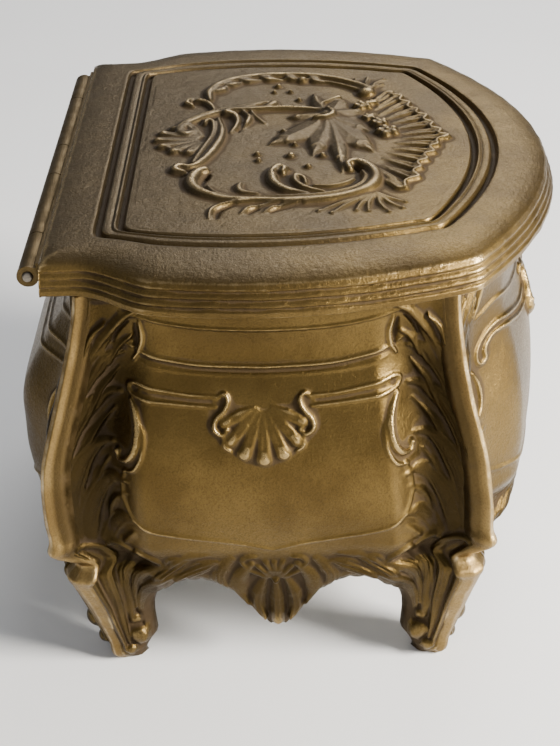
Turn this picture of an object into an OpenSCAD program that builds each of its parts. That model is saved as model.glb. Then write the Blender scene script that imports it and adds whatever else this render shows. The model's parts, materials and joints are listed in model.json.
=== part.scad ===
// Cast metal trinket box: a bombe body on four scrolled legs, with a hinged, D-shaped lid.
// Millimetres, +Z up, front towards -Y, hinge towards +Y, feet on z = 0.

/* [Body] */
// Half the width across the feet, measured to the corner ridge
foot_x = 36; // [34:0.5:38]
// Half the depth across the feet, measured to the corner ridge
foot_y = 24.2; // [23:0.2:26]
// Height of the body's top edge
body_top = 61.5; // [58:0.5:64]
// Wall thickness of the castings
wall = 1.8; // [1.4:0.1:2.2]
// Width of the dressed ridge that runs down each corner
bead_w = 2.4; // [2:0.1:2.8]
// How far the ridge stands out of the castings on both sides of it
bead_proud = 0.5; // [0.3:0.1:0.8]
// How much further out the back corners swell
back_flare = 2.4; // [0:0.2:3]
// Height of the arches in the aprons
arch_top = 17.6; // [15:0.2:19]
// Height of the tip of the shell that hangs in the middle of each apron
pendant_tip = 7.6; // [6:0.2:11]

/* [Lid] */
// Half the width of the lid's top edge across the side bows
lid_side = 42.8; // [41:0.2:44]
// Distance of the lid's straight back edge from the centre line
lid_back = 29.4; // [29:0.1:30]
// Distance of the front bow of the lid's top edge from the centre line
lid_front = 39.6; // [38:0.2:41]
// Height of the rim, from its lower edge to the flat of the panel
rim_h = 5.2; // [4.6:0.1:6]
// Thickness of the lid's panel
panel_t = 1.8; // [1.4:0.1:2]
// Height of the cast relief above the panel
relief_h = 2; // [1:0.2:3]

/* [Hinge] */
// Outer radius of the knuckles
knuckle_r = 1.45; // [1.3:0.05:1.6]
// Radius of the hinge pin
pin_r = 0.7; // [0.6:0.05:0.8]
// Thickness of the hinge leaves
leaf_t = 0.5; // [0.4:0.1:0.6]
// Half the length of the hinge
hinge_half = 35.2; // [32:0.2:36]

/* [Lining] */
// Thickness of the silk covered cards
card_t = 0.9; // [0.6:0.1:1.2]
// Thickness of the floor pad
pad_t = 3.6; // [2:0.2:6]
// Radius of the twisted cord around the mouth
cord_r = 0.8; // [0.6:0.1:0.9]
// Level of the sheet metal floor plate
floor_z = 20.1; // [19.6:0.1:21]

/* [Hidden] */

gilt = [0.62, 0.50, 0.28];
bright_gilt = [0.80, 0.70, 0.48];
brass = [0.66, 0.55, 0.32];
tin = [0.58, 0.57, 0.54];
silk = [0.86, 0.78, 0.62];
cord_silk = [0.74, 0.62, 0.40];

seat_gap = 0.3;
plate_t = 0.8;
fit = 0.05;
tiny = 0.02;
plate_gap = 0.3;
lid_low = body_top + seat_gap;
lid_top = lid_low + rim_h;

// Front and back limits of the object; the frame's origin is halfway between them.
reed_out = 0.205;
front_limit = lid_front + reed_out * 7;
back_limit = 36.2;
shift_y = (front_limit - back_limit) / 2;

// ---- smooth curves through a few hand-set points, [position, value]
function slope(c, i) = let (a = max(i - 1, 0), b = min(i + 1, len(c) - 1))
    (c[b][1] - c[a][1]) / (c[b][0] - c[a][0]);
function hermite(c, i, s, d) = (2 * s ^ 3 - 3 * s ^ 2 + 1) * c[i][1]
    + (s ^ 3 - 2 * s ^ 2 + s) * d * slope(c, i)
    + (3 * s ^ 2 - 2 * s ^ 3) * c[i + 1][1] + (s ^ 3 - s ^ 2) * d * slope(c, i + 1);
function span_of(c, x) = max([for (k = [0 : len(c) - 2]) if (c[k][0] <= x) k]);
function curve(c, x) = x <= c[0][0] ? c[0][1] : x >= c[len(c) - 1][0] ? c[len(c) - 1][1]
    : let (i = span_of(c, x), d = c[i + 1][0] - c[i][0]) hermite(c, i, (x - c[i][0]) / d, d);
function ease(t) = let (u = min(max(t, 0), 1)) u * u * (3 - 2 * u);
function mix(a, b, t) = a + (b - a) * t;

// ---- the body's shape, by height
// How far the corner ridge lies outside its foot: scrolled leg, notch, knee, belly, neck.
corner_curve = [[0, 0], [4, 0.4], [12, 2.3], [18.5, 3.8], [20.5, 2.8], [24.3, 4.9], [30, 4.6],
    [38, 3.6], [45, 1.8], [51, 0.6], [58, -0.3], [61.5, -0.4]];
// Distance of the middle of each face from the centre line.
side_curve = [[8, 37.6], [14, 38.6], [20, 40.2], [28, 42.2], [34, 42.8], [40, 42.3], [46, 40.4],
    [49, 39.2], [51, 38.2], [54, 38], [57.5, 38.8], [61.5, 39.6]];
front_curve = [[8, 34.6], [14, 36], [20, 37.6], [28, 39], [36, 39.2], [43, 38.4], [48, 37],
    [52, 36], [57, 36.4], [61.5, 37.3]];
back_curve = [[8, 31], [14, 32.2], [20, 33.8], [28, 35.6], [35, 36.2], [41, 35.6], [48, 32],
    [53, 28.6], [57, 27.6], [61.5, 27.6]];
// Depth of the hollow beside each ridge.
cove_curve = [[0, 1.4], [10, 2], [20, 3], [30, 4.2], [42, 4], [52, 2.2], [58, 0.8], [61.5, 0.4]];
cove_start = 0.58;
flare_z = 42;
flare_reach = 18;
bead_d = bead_proud + wall * sqrt(2);
seam = (bead_w / 2 + bead_proud) / sqrt(2);
lip = (bead_w / 2 - bead_proud) / sqrt(2);

function flare(z) = back_flare * exp(-((z - flare_z) / flare_reach) ^ 2);
function out_front(z) = curve(corner_curve, z);
function out_back(z) = out_front(z) + flare(z);
function dip(t) = t < cove_start ? 0 : sin(180 * (t - cove_start) / (1 - cove_start)) ^ 2;
function bow(mid, edge, t, z, power) =
    edge + (mid - edge) * (1 - abs(t) ^ power) - curve(cove_curve, z) * dip(abs(t));

// A point of the left, front or back face. t runs from -1 to 1 between the corners; inset moves
// the point in from the outer surface.
function left_pt(t, z, inset) =
    let (y0 = seam + inset - foot_y - out_front(z), y1 = foot_y + out_back(z) - seam - inset,
        edge = foot_x + lip + mix(out_front(z), out_back(z), (t + 1) / 2))
    [inset - bow(curve(side_curve, z), edge, t, z, 2), mix(y0, y1, (t + 1) / 2), z];
function front_pt(t, z, inset) =
    [t * (foot_x + out_front(z) - seam - inset),
    inset - bow(curve(front_curve, z), foot_y + lip + out_front(z), t, z, 2), z];
function back_pt(t, z, inset) =
    [-t * (foot_x + out_back(z) - seam - inset),
    bow(curve(back_curve, z), foot_y + lip + out_back(z), t, z, 6) - inset, z];

// Lower edge of a casting, from the distance to the corner and the distance to the middle.
leg_edge = [[1.2, 0], [3.4, 2.6], [4.9, 4.2], [5.3, 5.8], [5.7, 8.6], [6.6, 10.8], [8.3, 13.2],
    [11, 15.6], [14, 17.4], [16, 17.6]];
shell_edge = [[0, 0], [1.5, 0.4], [3, 2.2], [4.5, 4.2], [6, 6.4], [8, 8.4], [11, 9.6]];
function low_edge(t, reach) =
    min(curve(leg_edge, (1 - abs(t)) * reach) * arch_top / 17.6,
    pendant_tip + curve(shell_edge, abs(t) * reach) * (arch_top - pendant_tip) / 9.6);

// Columns, in mm from the corner and then from the middle, and the levels of the mesh.
corner_steps = [0, 0.6, 1.2, 2.2, 3.4, 4.9, 5.3, 5.7, 6.6, 8.3, 11, 14];
middle_steps = [11, 8, 6, 4.5, 3, 1.5, 0];
levels = [0, 3, 7, 12, 15.5, 18.5, 20.5, 24.3, 28, 33, 38, 43, 47, 50, 53, 56, 58.5, 61.5];
function half_columns(reach) = concat([for (e = corner_steps) 1 - e / reach],
    reach > 30 ? [for (m = [22, 18, 14.5]) m / reach] : [14 / reach - 0.02],
    [for (m = middle_steps) m / reach]);
function columns(reach) = let (h = half_columns(reach), n = len(h))
    concat([for (t = h) -t], [for (i = [n - 2 : -1 : 0]) h[i]]);
function level(k, t, reach) =
    let (low = low_edge(t, reach)) low + (body_top - low) * levels[k] / 61.5;

// A closed shell from an outer and an inner grid of points, n columns by m levels.
module shell(outer, inner, n, m) {
    pts = concat(outer, inner);
    o = n * m;
    quads = concat(
        [for (i = [0 : n - 2]) for (j = [0 : m - 2])
            [i * m + j, i * m + j + 1, (i + 1) * m + j + 1, (i + 1) * m + j]],
        [for (i = [0 : n - 2]) for (j = [0 : m - 2])
            [o + i * m + j, o + (i + 1) * m + j, o + (i + 1) * m + j + 1, o + i * m + j + 1]],
        [for (i = [0 : n - 2]) [i * m, (i + 1) * m, o + (i + 1) * m, o + i * m]],
        [for (i = [0 : n - 2])
            [i * m + m - 1, o + i * m + m - 1, o + (i + 1) * m + m - 1, (i + 1) * m + m - 1]],
        [for (j = [0 : m - 2]) [j, o + j, o + j + 1, j + 1]],
        [for (j = [0 : m - 2]) [o - m + j, o - m + j + 1, 2 * o - m + j + 1, 2 * o - m + j]]);
    faces = [for (q = quads) each [[q[0], q[1], q[2]], [q[0], q[2], q[3]]]];
    polyhedron(pts, faces, convexity = 10);
}

side_reach = 28;
long_reach = 38;

module left_casting() {
    color(gilt) translate([0, shift_y, 0]) {
        cols = columns(side_reach);
        m = len(levels);
        outer = [for (t = cols) for (k = [0 : m - 1]) left_pt(t, level(k, t, side_reach), 0)];
        inner = [for (t = cols) for (k = [0 : m - 1]) left_pt(t, level(k, t, side_reach), wall)];
        shell(inner, outer, len(cols), m);
    }
}

module right_casting() {
    mirror([1, 0, 0]) left_casting();
}

module front_casting() {
    color(gilt) translate([0, shift_y, 0]) {
        cols = columns(long_reach);
        m = len(levels);
        outer = [for (t = cols) for (k = [0 : m - 1]) front_pt(t, level(k, t, long_reach), 0)];
        inner = [for (t = cols) for (k = [0 : m - 1]) front_pt(t, level(k, t, long_reach), wall)];
        shell(outer, inner, len(cols), m);
    }
}

module back_casting() {
    color(gilt) translate([0, shift_y, 0]) {
        cols = columns(long_reach);
        m = len(levels);
        outer = [for (t = cols) for (k = [0 : m - 1]) back_pt(t, level(k, t, long_reach), 0)];
        inner = [for (t = cols) for (k = [0 : m - 1]) back_pt(t, level(k, t, long_reach), wall)];
        shell(outer, inner, len(cols), m);
    }
}

// ---- corner ridges
// The four corners of a ridge's section at height z, in the quarter where x and y are positive.
function ridge_section(out, z) =
    let (c = [foot_x + out, foot_y + out], n = [1, -1] / sqrt(2) * (bead_w / 2 - tiny),
        d = [1, 1] / sqrt(2) * bead_d)
    [for (p = [c + n, c - n, c - n - d, c + n - d]) [p[0], p[1], z]];

module ridge(back) {
    m = len(levels);
    rings = [for (k = [0 : m - 1]) let (z = level(k, 1, side_reach))
        ridge_section(back ? out_back(z) : out_front(z), z)];
    pts = [for (r = rings) each r];
    walls = [for (k = [0 : m - 2]) for (i = [0 : 3]) let (a = 4 * k + i, b = 4 * k + (i + 1) % 4)
        each [[a, a + 4, b + 4], [a, b + 4, b]]];
    last = 4 * (m - 1);
    caps = [[0, 1, 2], [0, 2, 3], [last, last + 2, last + 1], [last, last + 3, last + 2]];
    polyhedron(pts, [for (f = concat(walls, caps)) [f[2], f[1], f[0]]], convexity = 6);
}

module front_left_ridge() {
    color(bright_gilt) translate([0, shift_y, 0]) mirror([1, 0, 0]) mirror([0, 1, 0]) ridge(false);
}

module front_right_ridge() {
    color(bright_gilt) translate([0, shift_y, 0]) mirror([0, 1, 0]) ridge(false);
}

module back_left_ridge() {
    color(bright_gilt) translate([0, shift_y, 0]) mirror([1, 0, 0]) ridge(true);
}

module back_right_ridge() {
    color(bright_gilt) translate([0, shift_y, 0]) ridge(true);
}

// ---- inside outlines of the body
ring_t = [for (i = [-9 : 9]) i / 9];
function xy(p) = [p[0], p[1]];
function right_of(p) = [-p[0], p[1]];
function body_ring(z, inset) = concat(
    [for (t = ring_t) xy(front_pt(t, z, inset))],
    [for (t = ring_t) right_of(left_pt(t, z, inset))],
    [for (t = ring_t) xy(back_pt(t, z, inset))],
    [for (t = ring_t) xy(left_pt(-t, z, inset))]);

module plate(z, t, ring) {
    translate([0, shift_y, z]) linear_extrude(t) polygon(ring);
}

module floor_plate() {
    color(tin) plate(floor_z, plate_t, body_ring(floor_z + plate_t / 2, wall + plate_gap));
}

lug = [2.4, 7, 1.2];
lug_t = 0.4;
lug_gap = 0.6;
// A lug that lies against the casting's inner face at p, turned to face along the angle a.
module lug_at(p, a) {
    translate([p[0], p[1], 0]) rotate(a) translate([lug_gap, -lug[1] / 2, 0]) cube(lug);
}

module floor_lugs() {
    z = floor_z - lug[2];
    color(tin) translate([0, shift_y, z]) {
        lug_at(left_pt(0, z, wall), 0);
        lug_at(right_of(left_pt(0, z, wall)), 180);
        for (t = [-lug_t, lug_t]) {
            lug_at(front_pt(t, z, wall), 90 + t * 30);
            lug_at(back_pt(t, z, wall), -90);
        }
    }
}

// ---- lining
mouth_z = body_top - 1.3;
lining_low = floor_z + plate_t + tiny;
lining_high = mouth_z - cord_r - tiny;
lining_in = wall + 2;
card_span = 0.96;
card_steps = [for (i = [-8 : 8]) card_span * i / 8];

module card(outer, inner) {
    translate([0, shift_y, lining_low]) linear_extrude(lining_high - lining_low)
        polygon(concat(outer, [for (i = [len(inner) - 1 : -1 : 0]) inner[i]]));
}

module front_lining() {
    color(silk) card([for (t = card_steps) xy(front_pt(t, mouth_z, lining_in))],
        [for (t = card_steps) xy(front_pt(t, mouth_z, lining_in + card_t))]);
}

module back_lining() {
    color(silk) card([for (t = card_steps) xy(back_pt(t, mouth_z, lining_in))],
        [for (t = card_steps) xy(back_pt(t, mouth_z, lining_in + card_t))]);
}

module left_lining() {
    color(silk) card([for (t = card_steps) xy(left_pt(t, mouth_z, lining_in))],
        [for (t = card_steps) xy(left_pt(t, mouth_z, lining_in + card_t))]);
}

module right_lining() {
    mirror([1, 0, 0]) left_lining();
}

module floor_card() {
    color(silk) plate(lining_low, card_t, body_ring(mouth_z, lining_in + card_t + 0.2));
}

module floor_pad() {
    color(silk) plate(lining_low + card_t + tiny, pad_t, body_ring(mouth_z, lining_in + card_t + 0.5));
}

// A round cord laid along a closed outline.
cord_sides = 8;
module cord(ring, r, z) {
    n = len(ring);
    pts = [for (i = [0 : n - 1])
        let (a = ring[(i + n - 1) % n], b = ring[(i + 1) % n], d = (b - a) / norm(b - a), o = [d[1], -d[0]])
        for (k = [0 : cord_sides - 1])
            [each ring[i] + o * r * cos(360 * k / cord_sides), z + r * sin(360 * k / cord_sides)]];
    function at(i, k) = (i % n) * cord_sides + k % cord_sides;
    faces = [for (i = [0 : n - 1]) for (k = [0 : cord_sides - 1])
        each [[at(i, k), at(i, k + 1), at(i + 1, k + 1)], [at(i, k), at(i + 1, k + 1), at(i + 1, k)]]];
    translate([0, shift_y, 0]) polyhedron(pts, faces, convexity = 10);
}

// One ring with no doubled points at the corners, so the cord can follow it.
loop_t = [for (i = [-7 : 7]) i / 8];
function loop_ring(z, inset) = concat(
    [for (t = loop_t) xy(front_pt(t, z, inset))],
    [for (t = loop_t) right_of(left_pt(t, z, inset))],
    [for (t = loop_t) xy(back_pt(t, z, inset))],
    [for (t = loop_t) xy(left_pt(-t, z, inset))]);

module mouth_cord() {
    color(cord_silk) cord(loop_ring(mouth_z, wall + cord_r + 0.2), cord_r, mouth_z);
}

// ---- lid
// Half outlines, from the middle of the back edge round to the middle of the front bow: the lid's
// top edge, then the outer and the inner groove of the panel's frame.
bow_centre = 2;
bow_round = 130;
step_low = 14.5;
step_high = 25;
side_steps = [0, 0.04, 0.08, 0.11, 0.14, 0.172, 0.204, 0.236, 0.27, 0.34, 0.42, 0.5, 0.58, 0.66,
    0.74, 0.82, 0.9, 0.96];
front_steps = [for (i = [0 : 10]) 1 - i / 10];
function side_x(y, apex, corner) =
    mix(apex - (y - bow_centre) ^ 2 / bow_round, corner, ease((y - step_low) / (step_high - step_low)));
function half_outline(back, corner, apex, front_x, front_y, nose) = concat(
    [for (i = [0 : 4]) [corner * i / 5, back]],
    [for (s = side_steps) let (y = mix(back, -front_y, s)) [side_x(y, apex, corner), y]],
    [for (f = front_steps) [front_x * f, -nose + (nose - front_y) * f ^ 2]]);
edge_half = half_outline(lid_back, 36.6, lid_side, 36.5, 26.6, lid_front);
frame_half = half_outline(lid_back - 6.7, 30.6, lid_side - 8.4, 30.7, 22.6, lid_front - 7);
panel_half = half_outline(lid_back - 10.5, 28.4, lid_side - 11.8, 28.3, 20.5, lid_front - 10.8);
half_n = len(edge_half);
// A ring of the lid: q is 0 at the top edge, 1 at the outer groove, 1.5 at the inner groove and
// below 0 on the reeds.
function lid_half(q) = [for (i = [0 : half_n - 1])
    let (p = q < 1 ? mix(edge_half[i], frame_half[i], q) : mix(frame_half[i], panel_half[i], 2 * q - 2))
    [p[0], min(p[1], lid_back)]];
function lid_ring(q) = let (h = lid_half(q)) concat(h,
    [for (i = [half_n - 2 : -1 : 1]) [-h[i][0], h[i][1]]]);

flange_q = 0.76;
// Section of the lid from the middle of the relief to the rim and back under: [q, height].
function lid_section() = [[3.4, relief_h], [2.6, relief_h * 0.8], [1.9, relief_h * 0.5],
    [1.75, 0], [1.5, 0], [1.46, -0.6], [1.41, 0.1], [1.28, 0.15], [1.23, -0.3], [1.17, 0.15],
    [1.04, 0.1], [1, -0.6], [0.94, -0.1], [0.5, -0.2], [0.2, -0.6], [0, -1.2],
    [-0.03, -1.7], [0, -2.05], [-0.08, -2.4], [-0.1, -2.8], [-0.07, -3.1],
    [-0.14, -3.4], [-0.16, -3.8], [-0.13, -4.1], [-reed_out, -4.5], [-reed_out, -rim_h],
    [flange_q, -rim_h], [flange_q, -panel_t]];

module lid_casting() {
    section = lid_section();
    m = len(section);
    n = 2 * half_n - 2;
    pts = concat([for (s = section) let (r = lid_ring(s[0])) each [for (p = r) [p[0], p[1], lid_top + s[1]]]],
        [[0, 0, lid_top + relief_h], [0, 0, lid_top - panel_t]]);
    skin = [for (j = [0 : m - 2]) for (i = [0 : n - 1])
        let (a = j * n + i, b = j * n + (i + 1) % n) each [[a, b, b + n], [a, b + n, a + n]]];
    caps = [for (i = [0 : n - 1]) let (k = (i + 1) % n, e = (m - 1) * n)
        each [[m * n, k, i], [m * n + 1, e + i, e + k]]];
    color(gilt) translate([0, shift_y, 0])
        polyhedron(pts, concat(skin, caps), convexity = 10);
}

// ---- hinge
pin_y = lid_back + knuckle_r + 0.25;
pin_z = lid_low + knuckle_r + 0.25;
knuckle_gap = 0.2;
inner_break = 5.3;
outer_break = 24.8;
body_knuckles = [[-outer_break, -inner_break], [inner_break, outer_break]];
lid_knuckles = [[-hinge_half, -outer_break], [-inner_break, inner_break], [outer_break, hinge_half]];

// Draws a section, given as [y, z] from the pin, along x from k[0] to k[1].
module along_x(k) {
    translate([k[0], shift_y + pin_y, pin_z]) rotate([90, 0, 90]) linear_extrude(k[1] - k[0]) children();
}

module knuckle(k, web, bore) {
    along_x([k[0] + knuckle_gap / 2, k[1] - knuckle_gap / 2]) difference() {
        union() {
            circle(knuckle_r, $fn = 48);
            polygon(web);
        }
        circle(bore, $fn = 48);
    }
}

module body_hinge_leaf() {
    wall_y = back_pt(0, body_top, 0)[1] + tiny - pin_y;
    top = body_top - 0.1 - pin_z;
    foot = top - 4;
    web = [[wall_y, foot], [wall_y + leaf_t, foot], [wall_y + leaf_t, top - leaf_t],
        [-0.7, top - leaf_t], [0, 0.05 - knuckle_r], [-0.95, -0.95], [-1.35, top], [wall_y, top]];
    strip = [[wall_y, foot], [wall_y + leaf_t, foot], [wall_y + leaf_t, top - leaf_t], [wall_y, top - leaf_t]];
    color(brass) {
        for (k = body_knuckles) {
            knuckle(k, web, pin_r + fit / 2);
        }
        along_x([-outer_break, outer_break]) polygon(strip);
    }
}

module lid_hinge_leaf() {
    face_y = lid_back + tiny - pin_y;
    top = lid_top - 1.6 - pin_z;
    low = knuckle_r * 0.9;
    web = [[face_y, -0.4], [-0.9, -0.9], [-0.7, 1.2], [face_y + leaf_t, low], [face_y + leaf_t, top], [face_y, top]];
    strip = [[face_y, low], [face_y + leaf_t, low], [face_y + leaf_t, top], [face_y, top]];
    color(brass) {
        for (k = lid_knuckles) {
            knuckle(k, web, pin_r + fit);
        }
        along_x([-hinge_half + 1, hinge_half - 1]) polygon(strip);
    }
}

module hinge_pin() {
    color(tin) translate([-hinge_half - 0.3, shift_y + pin_y, pin_z]) rotate([0, 90, 0])
        cylinder(h = 2 * hinge_half + 0.6, r = pin_r, $fn = 48);
}

// ---- lid lining
card_q = flange_q + 0.04;
pad_q = flange_q + 0.3;
pad_low = body_top;
lid_cord_r = 0.7;

module lid_card() {
    color(silk) plate(lid_top - panel_t - card_t - tiny, card_t, lid_ring(card_q));
}

module lid_pad() {
    top = lid_top - panel_t - card_t - 2 * tiny;
    color(silk) plate(pad_low, top - pad_low, lid_ring(pad_q));
}

module lid_cord() {
    ring = lid_ring(flange_q + 0.15);
    color(cord_silk) cord([for (i = [len(ring) - 1 : -1 : 0]) ring[i]], lid_cord_r,
        lid_top - panel_t - card_t - lid_cord_r - 3 * tiny);
}

left_casting();
right_casting();
front_casting();
back_casting();
front_left_ridge();
front_right_ridge();
back_left_ridge();
back_right_ridge();
floor_plate();
floor_lugs();
body_hinge_leaf();
hinge_pin();
front_lining();
back_lining();
left_lining();
right_lining();
floor_card();
floor_pad();
mouth_cord();
lid_casting();
lid_hinge_leaf();
lid_card();
lid_pad();
lid_cord();
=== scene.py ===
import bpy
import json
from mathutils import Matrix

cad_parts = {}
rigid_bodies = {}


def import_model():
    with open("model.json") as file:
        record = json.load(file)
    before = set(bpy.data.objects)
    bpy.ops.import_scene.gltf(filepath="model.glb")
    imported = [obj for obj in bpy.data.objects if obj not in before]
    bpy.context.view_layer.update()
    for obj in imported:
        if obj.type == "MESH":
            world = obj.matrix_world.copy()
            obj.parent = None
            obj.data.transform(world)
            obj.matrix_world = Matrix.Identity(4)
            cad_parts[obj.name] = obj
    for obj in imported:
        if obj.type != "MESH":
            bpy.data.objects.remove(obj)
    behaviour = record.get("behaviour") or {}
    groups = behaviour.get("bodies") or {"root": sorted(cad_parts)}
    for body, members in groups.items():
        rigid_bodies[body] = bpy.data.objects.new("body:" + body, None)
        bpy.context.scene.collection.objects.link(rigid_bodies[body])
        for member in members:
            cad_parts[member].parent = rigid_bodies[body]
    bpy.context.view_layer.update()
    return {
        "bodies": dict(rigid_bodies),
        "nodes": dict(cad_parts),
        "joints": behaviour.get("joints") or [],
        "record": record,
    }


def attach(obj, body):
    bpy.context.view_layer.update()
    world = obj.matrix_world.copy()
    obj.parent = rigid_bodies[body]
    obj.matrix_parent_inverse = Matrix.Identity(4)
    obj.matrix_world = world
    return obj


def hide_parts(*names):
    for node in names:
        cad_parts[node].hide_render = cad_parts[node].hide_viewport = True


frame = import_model()

import copy
import json
import math

import bmesh
import bpy
import numpy as np
from mathutils import Matrix, Vector

MM = 0.001

# ---------------------------------------------------------------- shape of the castings, in mm
# The same formulas as the CAD castings, so that the detailed castings lie where those do.
FOOT_X, FOOT_Y, BODY_TOP = 36.0, 24.2, 61.5
WALL, BEAD_W, BEAD_PROUD = 1.8, 2.4, 0.5
BACK_FLARE, FLARE_Z, FLARE_REACH = 2.4, 42.0, 18.0
ARCH_TOP, PENDANT_TIP = 17.6, 7.6
LID_SIDE, LID_BACK, LID_FRONT = 42.8, 29.4, 39.6
SEAT_GAP, RIM_H, PANEL_T = 0.3, 5.2, 1.8
REED_OUT = 0.205
LID_LOW = BODY_TOP + SEAT_GAP
LID_TOP = LID_LOW + RIM_H
BACK_LIMIT = 36.2
SHIFT_Y = (LID_FRONT + 7 * REED_OUT - BACK_LIMIT) / 2
SEAM = (BEAD_W / 2 + BEAD_PROUD) / math.sqrt(2)
LIP = (BEAD_W / 2 - BEAD_PROUD) / math.sqrt(2)
BEAD_D = BEAD_PROUD + WALL * math.sqrt(2)
COVE_START = 0.58

CORNER = [[0, -0.9], [1.2, 0.0], [4, 0.4], [12, 2.3], [16.5, 3.5], [18.6, 3.8], [20.4, 2.75], [22.3, 3.9],
          [24.1, 4.9], [26, 4.7], [30, 4.6], [38, 3.6], [45, 1.8], [51, 0.6], [58, -0.3], [61.5, -0.4]]
SIDE = [[8, 37.6], [14, 38.6], [20, 40.2], [28, 42.2], [34, 42.8], [40, 42.3], [46, 40.4],
        [49, 39.2], [51, 38.2], [54, 38], [57.5, 38.8], [61.5, 39.6]]
FRONT = [[8, 34.6], [14, 36], [20, 37.6], [28, 39], [36, 39.2], [43, 38.4], [48, 37],
         [52, 36], [57, 36.4], [61.5, 37.3]]
BACK = [[8, 31], [14, 32.2], [20, 33.8], [28, 35.6], [35, 36.0], [41, 35.6], [48, 32],
        [53, 28.6], [57, 27.6], [61.5, 27.6]]
COVE = [[0, 1.4], [10, 2], [20, 3], [30, 4.2], [42, 4], [52, 2.2], [58, 0.8], [61.5, 0.4]]
LEG_EDGE = [[1.2, 0], [3.4, 2.6], [4.9, 4.2], [5.3, 5.8], [5.7, 8.6], [6.6, 10.8], [8.3, 13.2],
            [11, 15.6], [14, 17.4], [16, 17.6]]
SHELL_EDGE = [[0, 0], [1.5, 0.4], [3, 2.2], [4.5, 4.2], [6, 6.4], [8, 8.4], [11, 9.6]]


def curve(table, x):
    """A smooth curve through a few [position, value] points."""
    c = np.array(table, float)
    x = np.clip(np.asarray(x, float), c[0, 0], c[-1, 0])
    n = len(c)
    lo, hi = np.maximum(np.arange(n) - 1, 0), np.minimum(np.arange(n) + 1, n - 1)
    slope = (c[hi, 1] - c[lo, 1]) / (c[hi, 0] - c[lo, 0])
    i = np.clip(np.searchsorted(c[:, 0], x, side="right") - 1, 0, n - 2)
    d = c[i + 1, 0] - c[i, 0]
    s = (x - c[i, 0]) / d
    return ((2 * s**3 - 3 * s**2 + 1) * c[i, 1] + (s**3 - 2 * s**2 + s) * d * slope[i]
            + (3 * s**2 - 2 * s**3) * c[i + 1, 1] + (s**3 - s**2) * d * slope[i + 1])


def mix(a, b, t):
    return a + (b - a) * t


def ease(t):
    """A smooth step from 0 to 1."""
    u = np.clip(t, 0, 1)
    return u * u * (3 - 2 * u)


def flare(z):
    """How much further the back corners lean out than the front ones."""
    return BACK_FLARE * np.exp(-(((z - FLARE_Z) / FLARE_REACH) ** 2))


def out_front(z):
    return curve(CORNER, z)


def out_back(z):
    return out_front(z) + flare(z)


def dip(t):
    """The share of the cove's depth, beside a ridge."""
    return np.where(t < COVE_START, 0, np.sin(np.pi * (t - COVE_START) / (1 - COVE_START)) ** 2)


def bow(mid, edge, t, z, power):
    """How far out a wall stands at t, from -1 to 1 between its ridges."""
    return edge + (mid - edge) * (1 - np.abs(t) ** power) - curve(COVE, z) * dip(np.abs(t))


def left_pt(t, z, inset):
    y0 = SEAM + inset - FOOT_Y - out_front(z)
    y1 = FOOT_Y + out_back(z) - SEAM - inset
    edge = FOOT_X + LIP + mix(out_front(z), out_back(z), (t + 1) / 2)
    return np.stack([inset - bow(curve(SIDE, z), edge, t, z, 2), mix(y0, y1, (t + 1) / 2), z + 0 * t], -1)


def front_pt(t, z, inset):
    x = t * (FOOT_X + out_front(z) - SEAM - inset)
    return np.stack([x, inset - bow(curve(FRONT, z), FOOT_Y + LIP + out_front(z), t, z, 2), z + 0 * t], -1)


def back_pt(t, z, inset):
    x = -t * (FOOT_X + out_back(z) - SEAM - inset)
    return np.stack([x, bow(curve(BACK, z), FOOT_Y + LIP + out_back(z), t, z, 6) - inset, z + 0 * t], -1)


def low_edge(t, reach):
    """Lower edge of a casting: legs, scalloped arches and the hanging shell."""
    from_corner, from_middle = (1 - np.abs(t)) * reach, np.abs(t) * reach
    leg = curve(LEG_EDGE, from_corner) * ARCH_TOP / LEG_EDGE[-1][1]
    shell = PENDANT_TIP + curve(SHELL_EDGE, from_middle) * (ARCH_TOP - PENDANT_TIP) / SHELL_EDGE[-1][1]
    scallop = 0.28 * np.abs(np.sin(from_middle * 1.45)) * ease((from_corner - 7) / 4)
    return np.minimum(leg, shell) - scallop * (shell > PENDANT_TIP + 0.2)


# ---------------------------------------------------------------- relief, drawn as a height map
def blurred(h, cells):
    """A height map softened by a round brush of that many cells."""
    if cells <= 0:
        return h
    r = max(1, int(3 * cells))
    k = np.exp(-0.5 * (np.arange(-r, r + 1) / cells) ** 2)
    k /= k.sum()
    for axis in (0, 1):
        pad = [(r, r) if a == axis else (0, 0) for a in (0, 1)]
        p = np.pad(h, pad, mode="edge")
        h = sum(w * np.take(p, np.arange(i, i + h.shape[axis]), axis) for i, w in enumerate(k))
    return h


def spline(points, per=8):
    """A Catmull-Rom curve through the points, with per steps from each to the next."""
    p = np.array(points, float)
    if len(p) < 3:
        return np.linspace(p[0], p[-1], per + 1)
    p = np.vstack([2 * p[0] - p[1], p, 2 * p[-1] - p[-2]])
    out = []
    for i in range(1, len(p) - 2):
        for s in np.linspace(0, 1, per, endpoint=False):
            out.append(0.5 * (2 * p[i] + (p[i + 1] - p[i - 1]) * s
                              + (2 * p[i - 1] - 5 * p[i] + 4 * p[i + 1] - p[i + 2]) * s**2
                              + (3 * p[i] - p[i - 1] - 3 * p[i + 1] + p[i + 2]) * s**3))
    out.append(p[-2])
    return np.array(out)


PROFILES = {
    "round": lambda r: np.sqrt(np.clip(1 - r * r, 0, 1)),
    "soft": lambda r: np.clip(1 - r * r, 0, 1) ** 1.6,
    "leaf": lambda r: np.clip(1 - r * r, 0, 1) ** 0.55 * (1 - 0.45 * np.exp(-((r / 0.3) ** 2))),
    "dome": lambda r: np.clip(1 - r * r, 0, 1) ** 0.6,
    "roof": lambda r: np.clip((1 - r) * 6, 0, 1) * (0.45 + 0.55 * (1 - r)),
    "cup": lambda r: np.clip(1 - r**6, 0, 1) * (0.45 + 0.55 * np.clip(r, 0, 1) ** 2),
}


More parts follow.
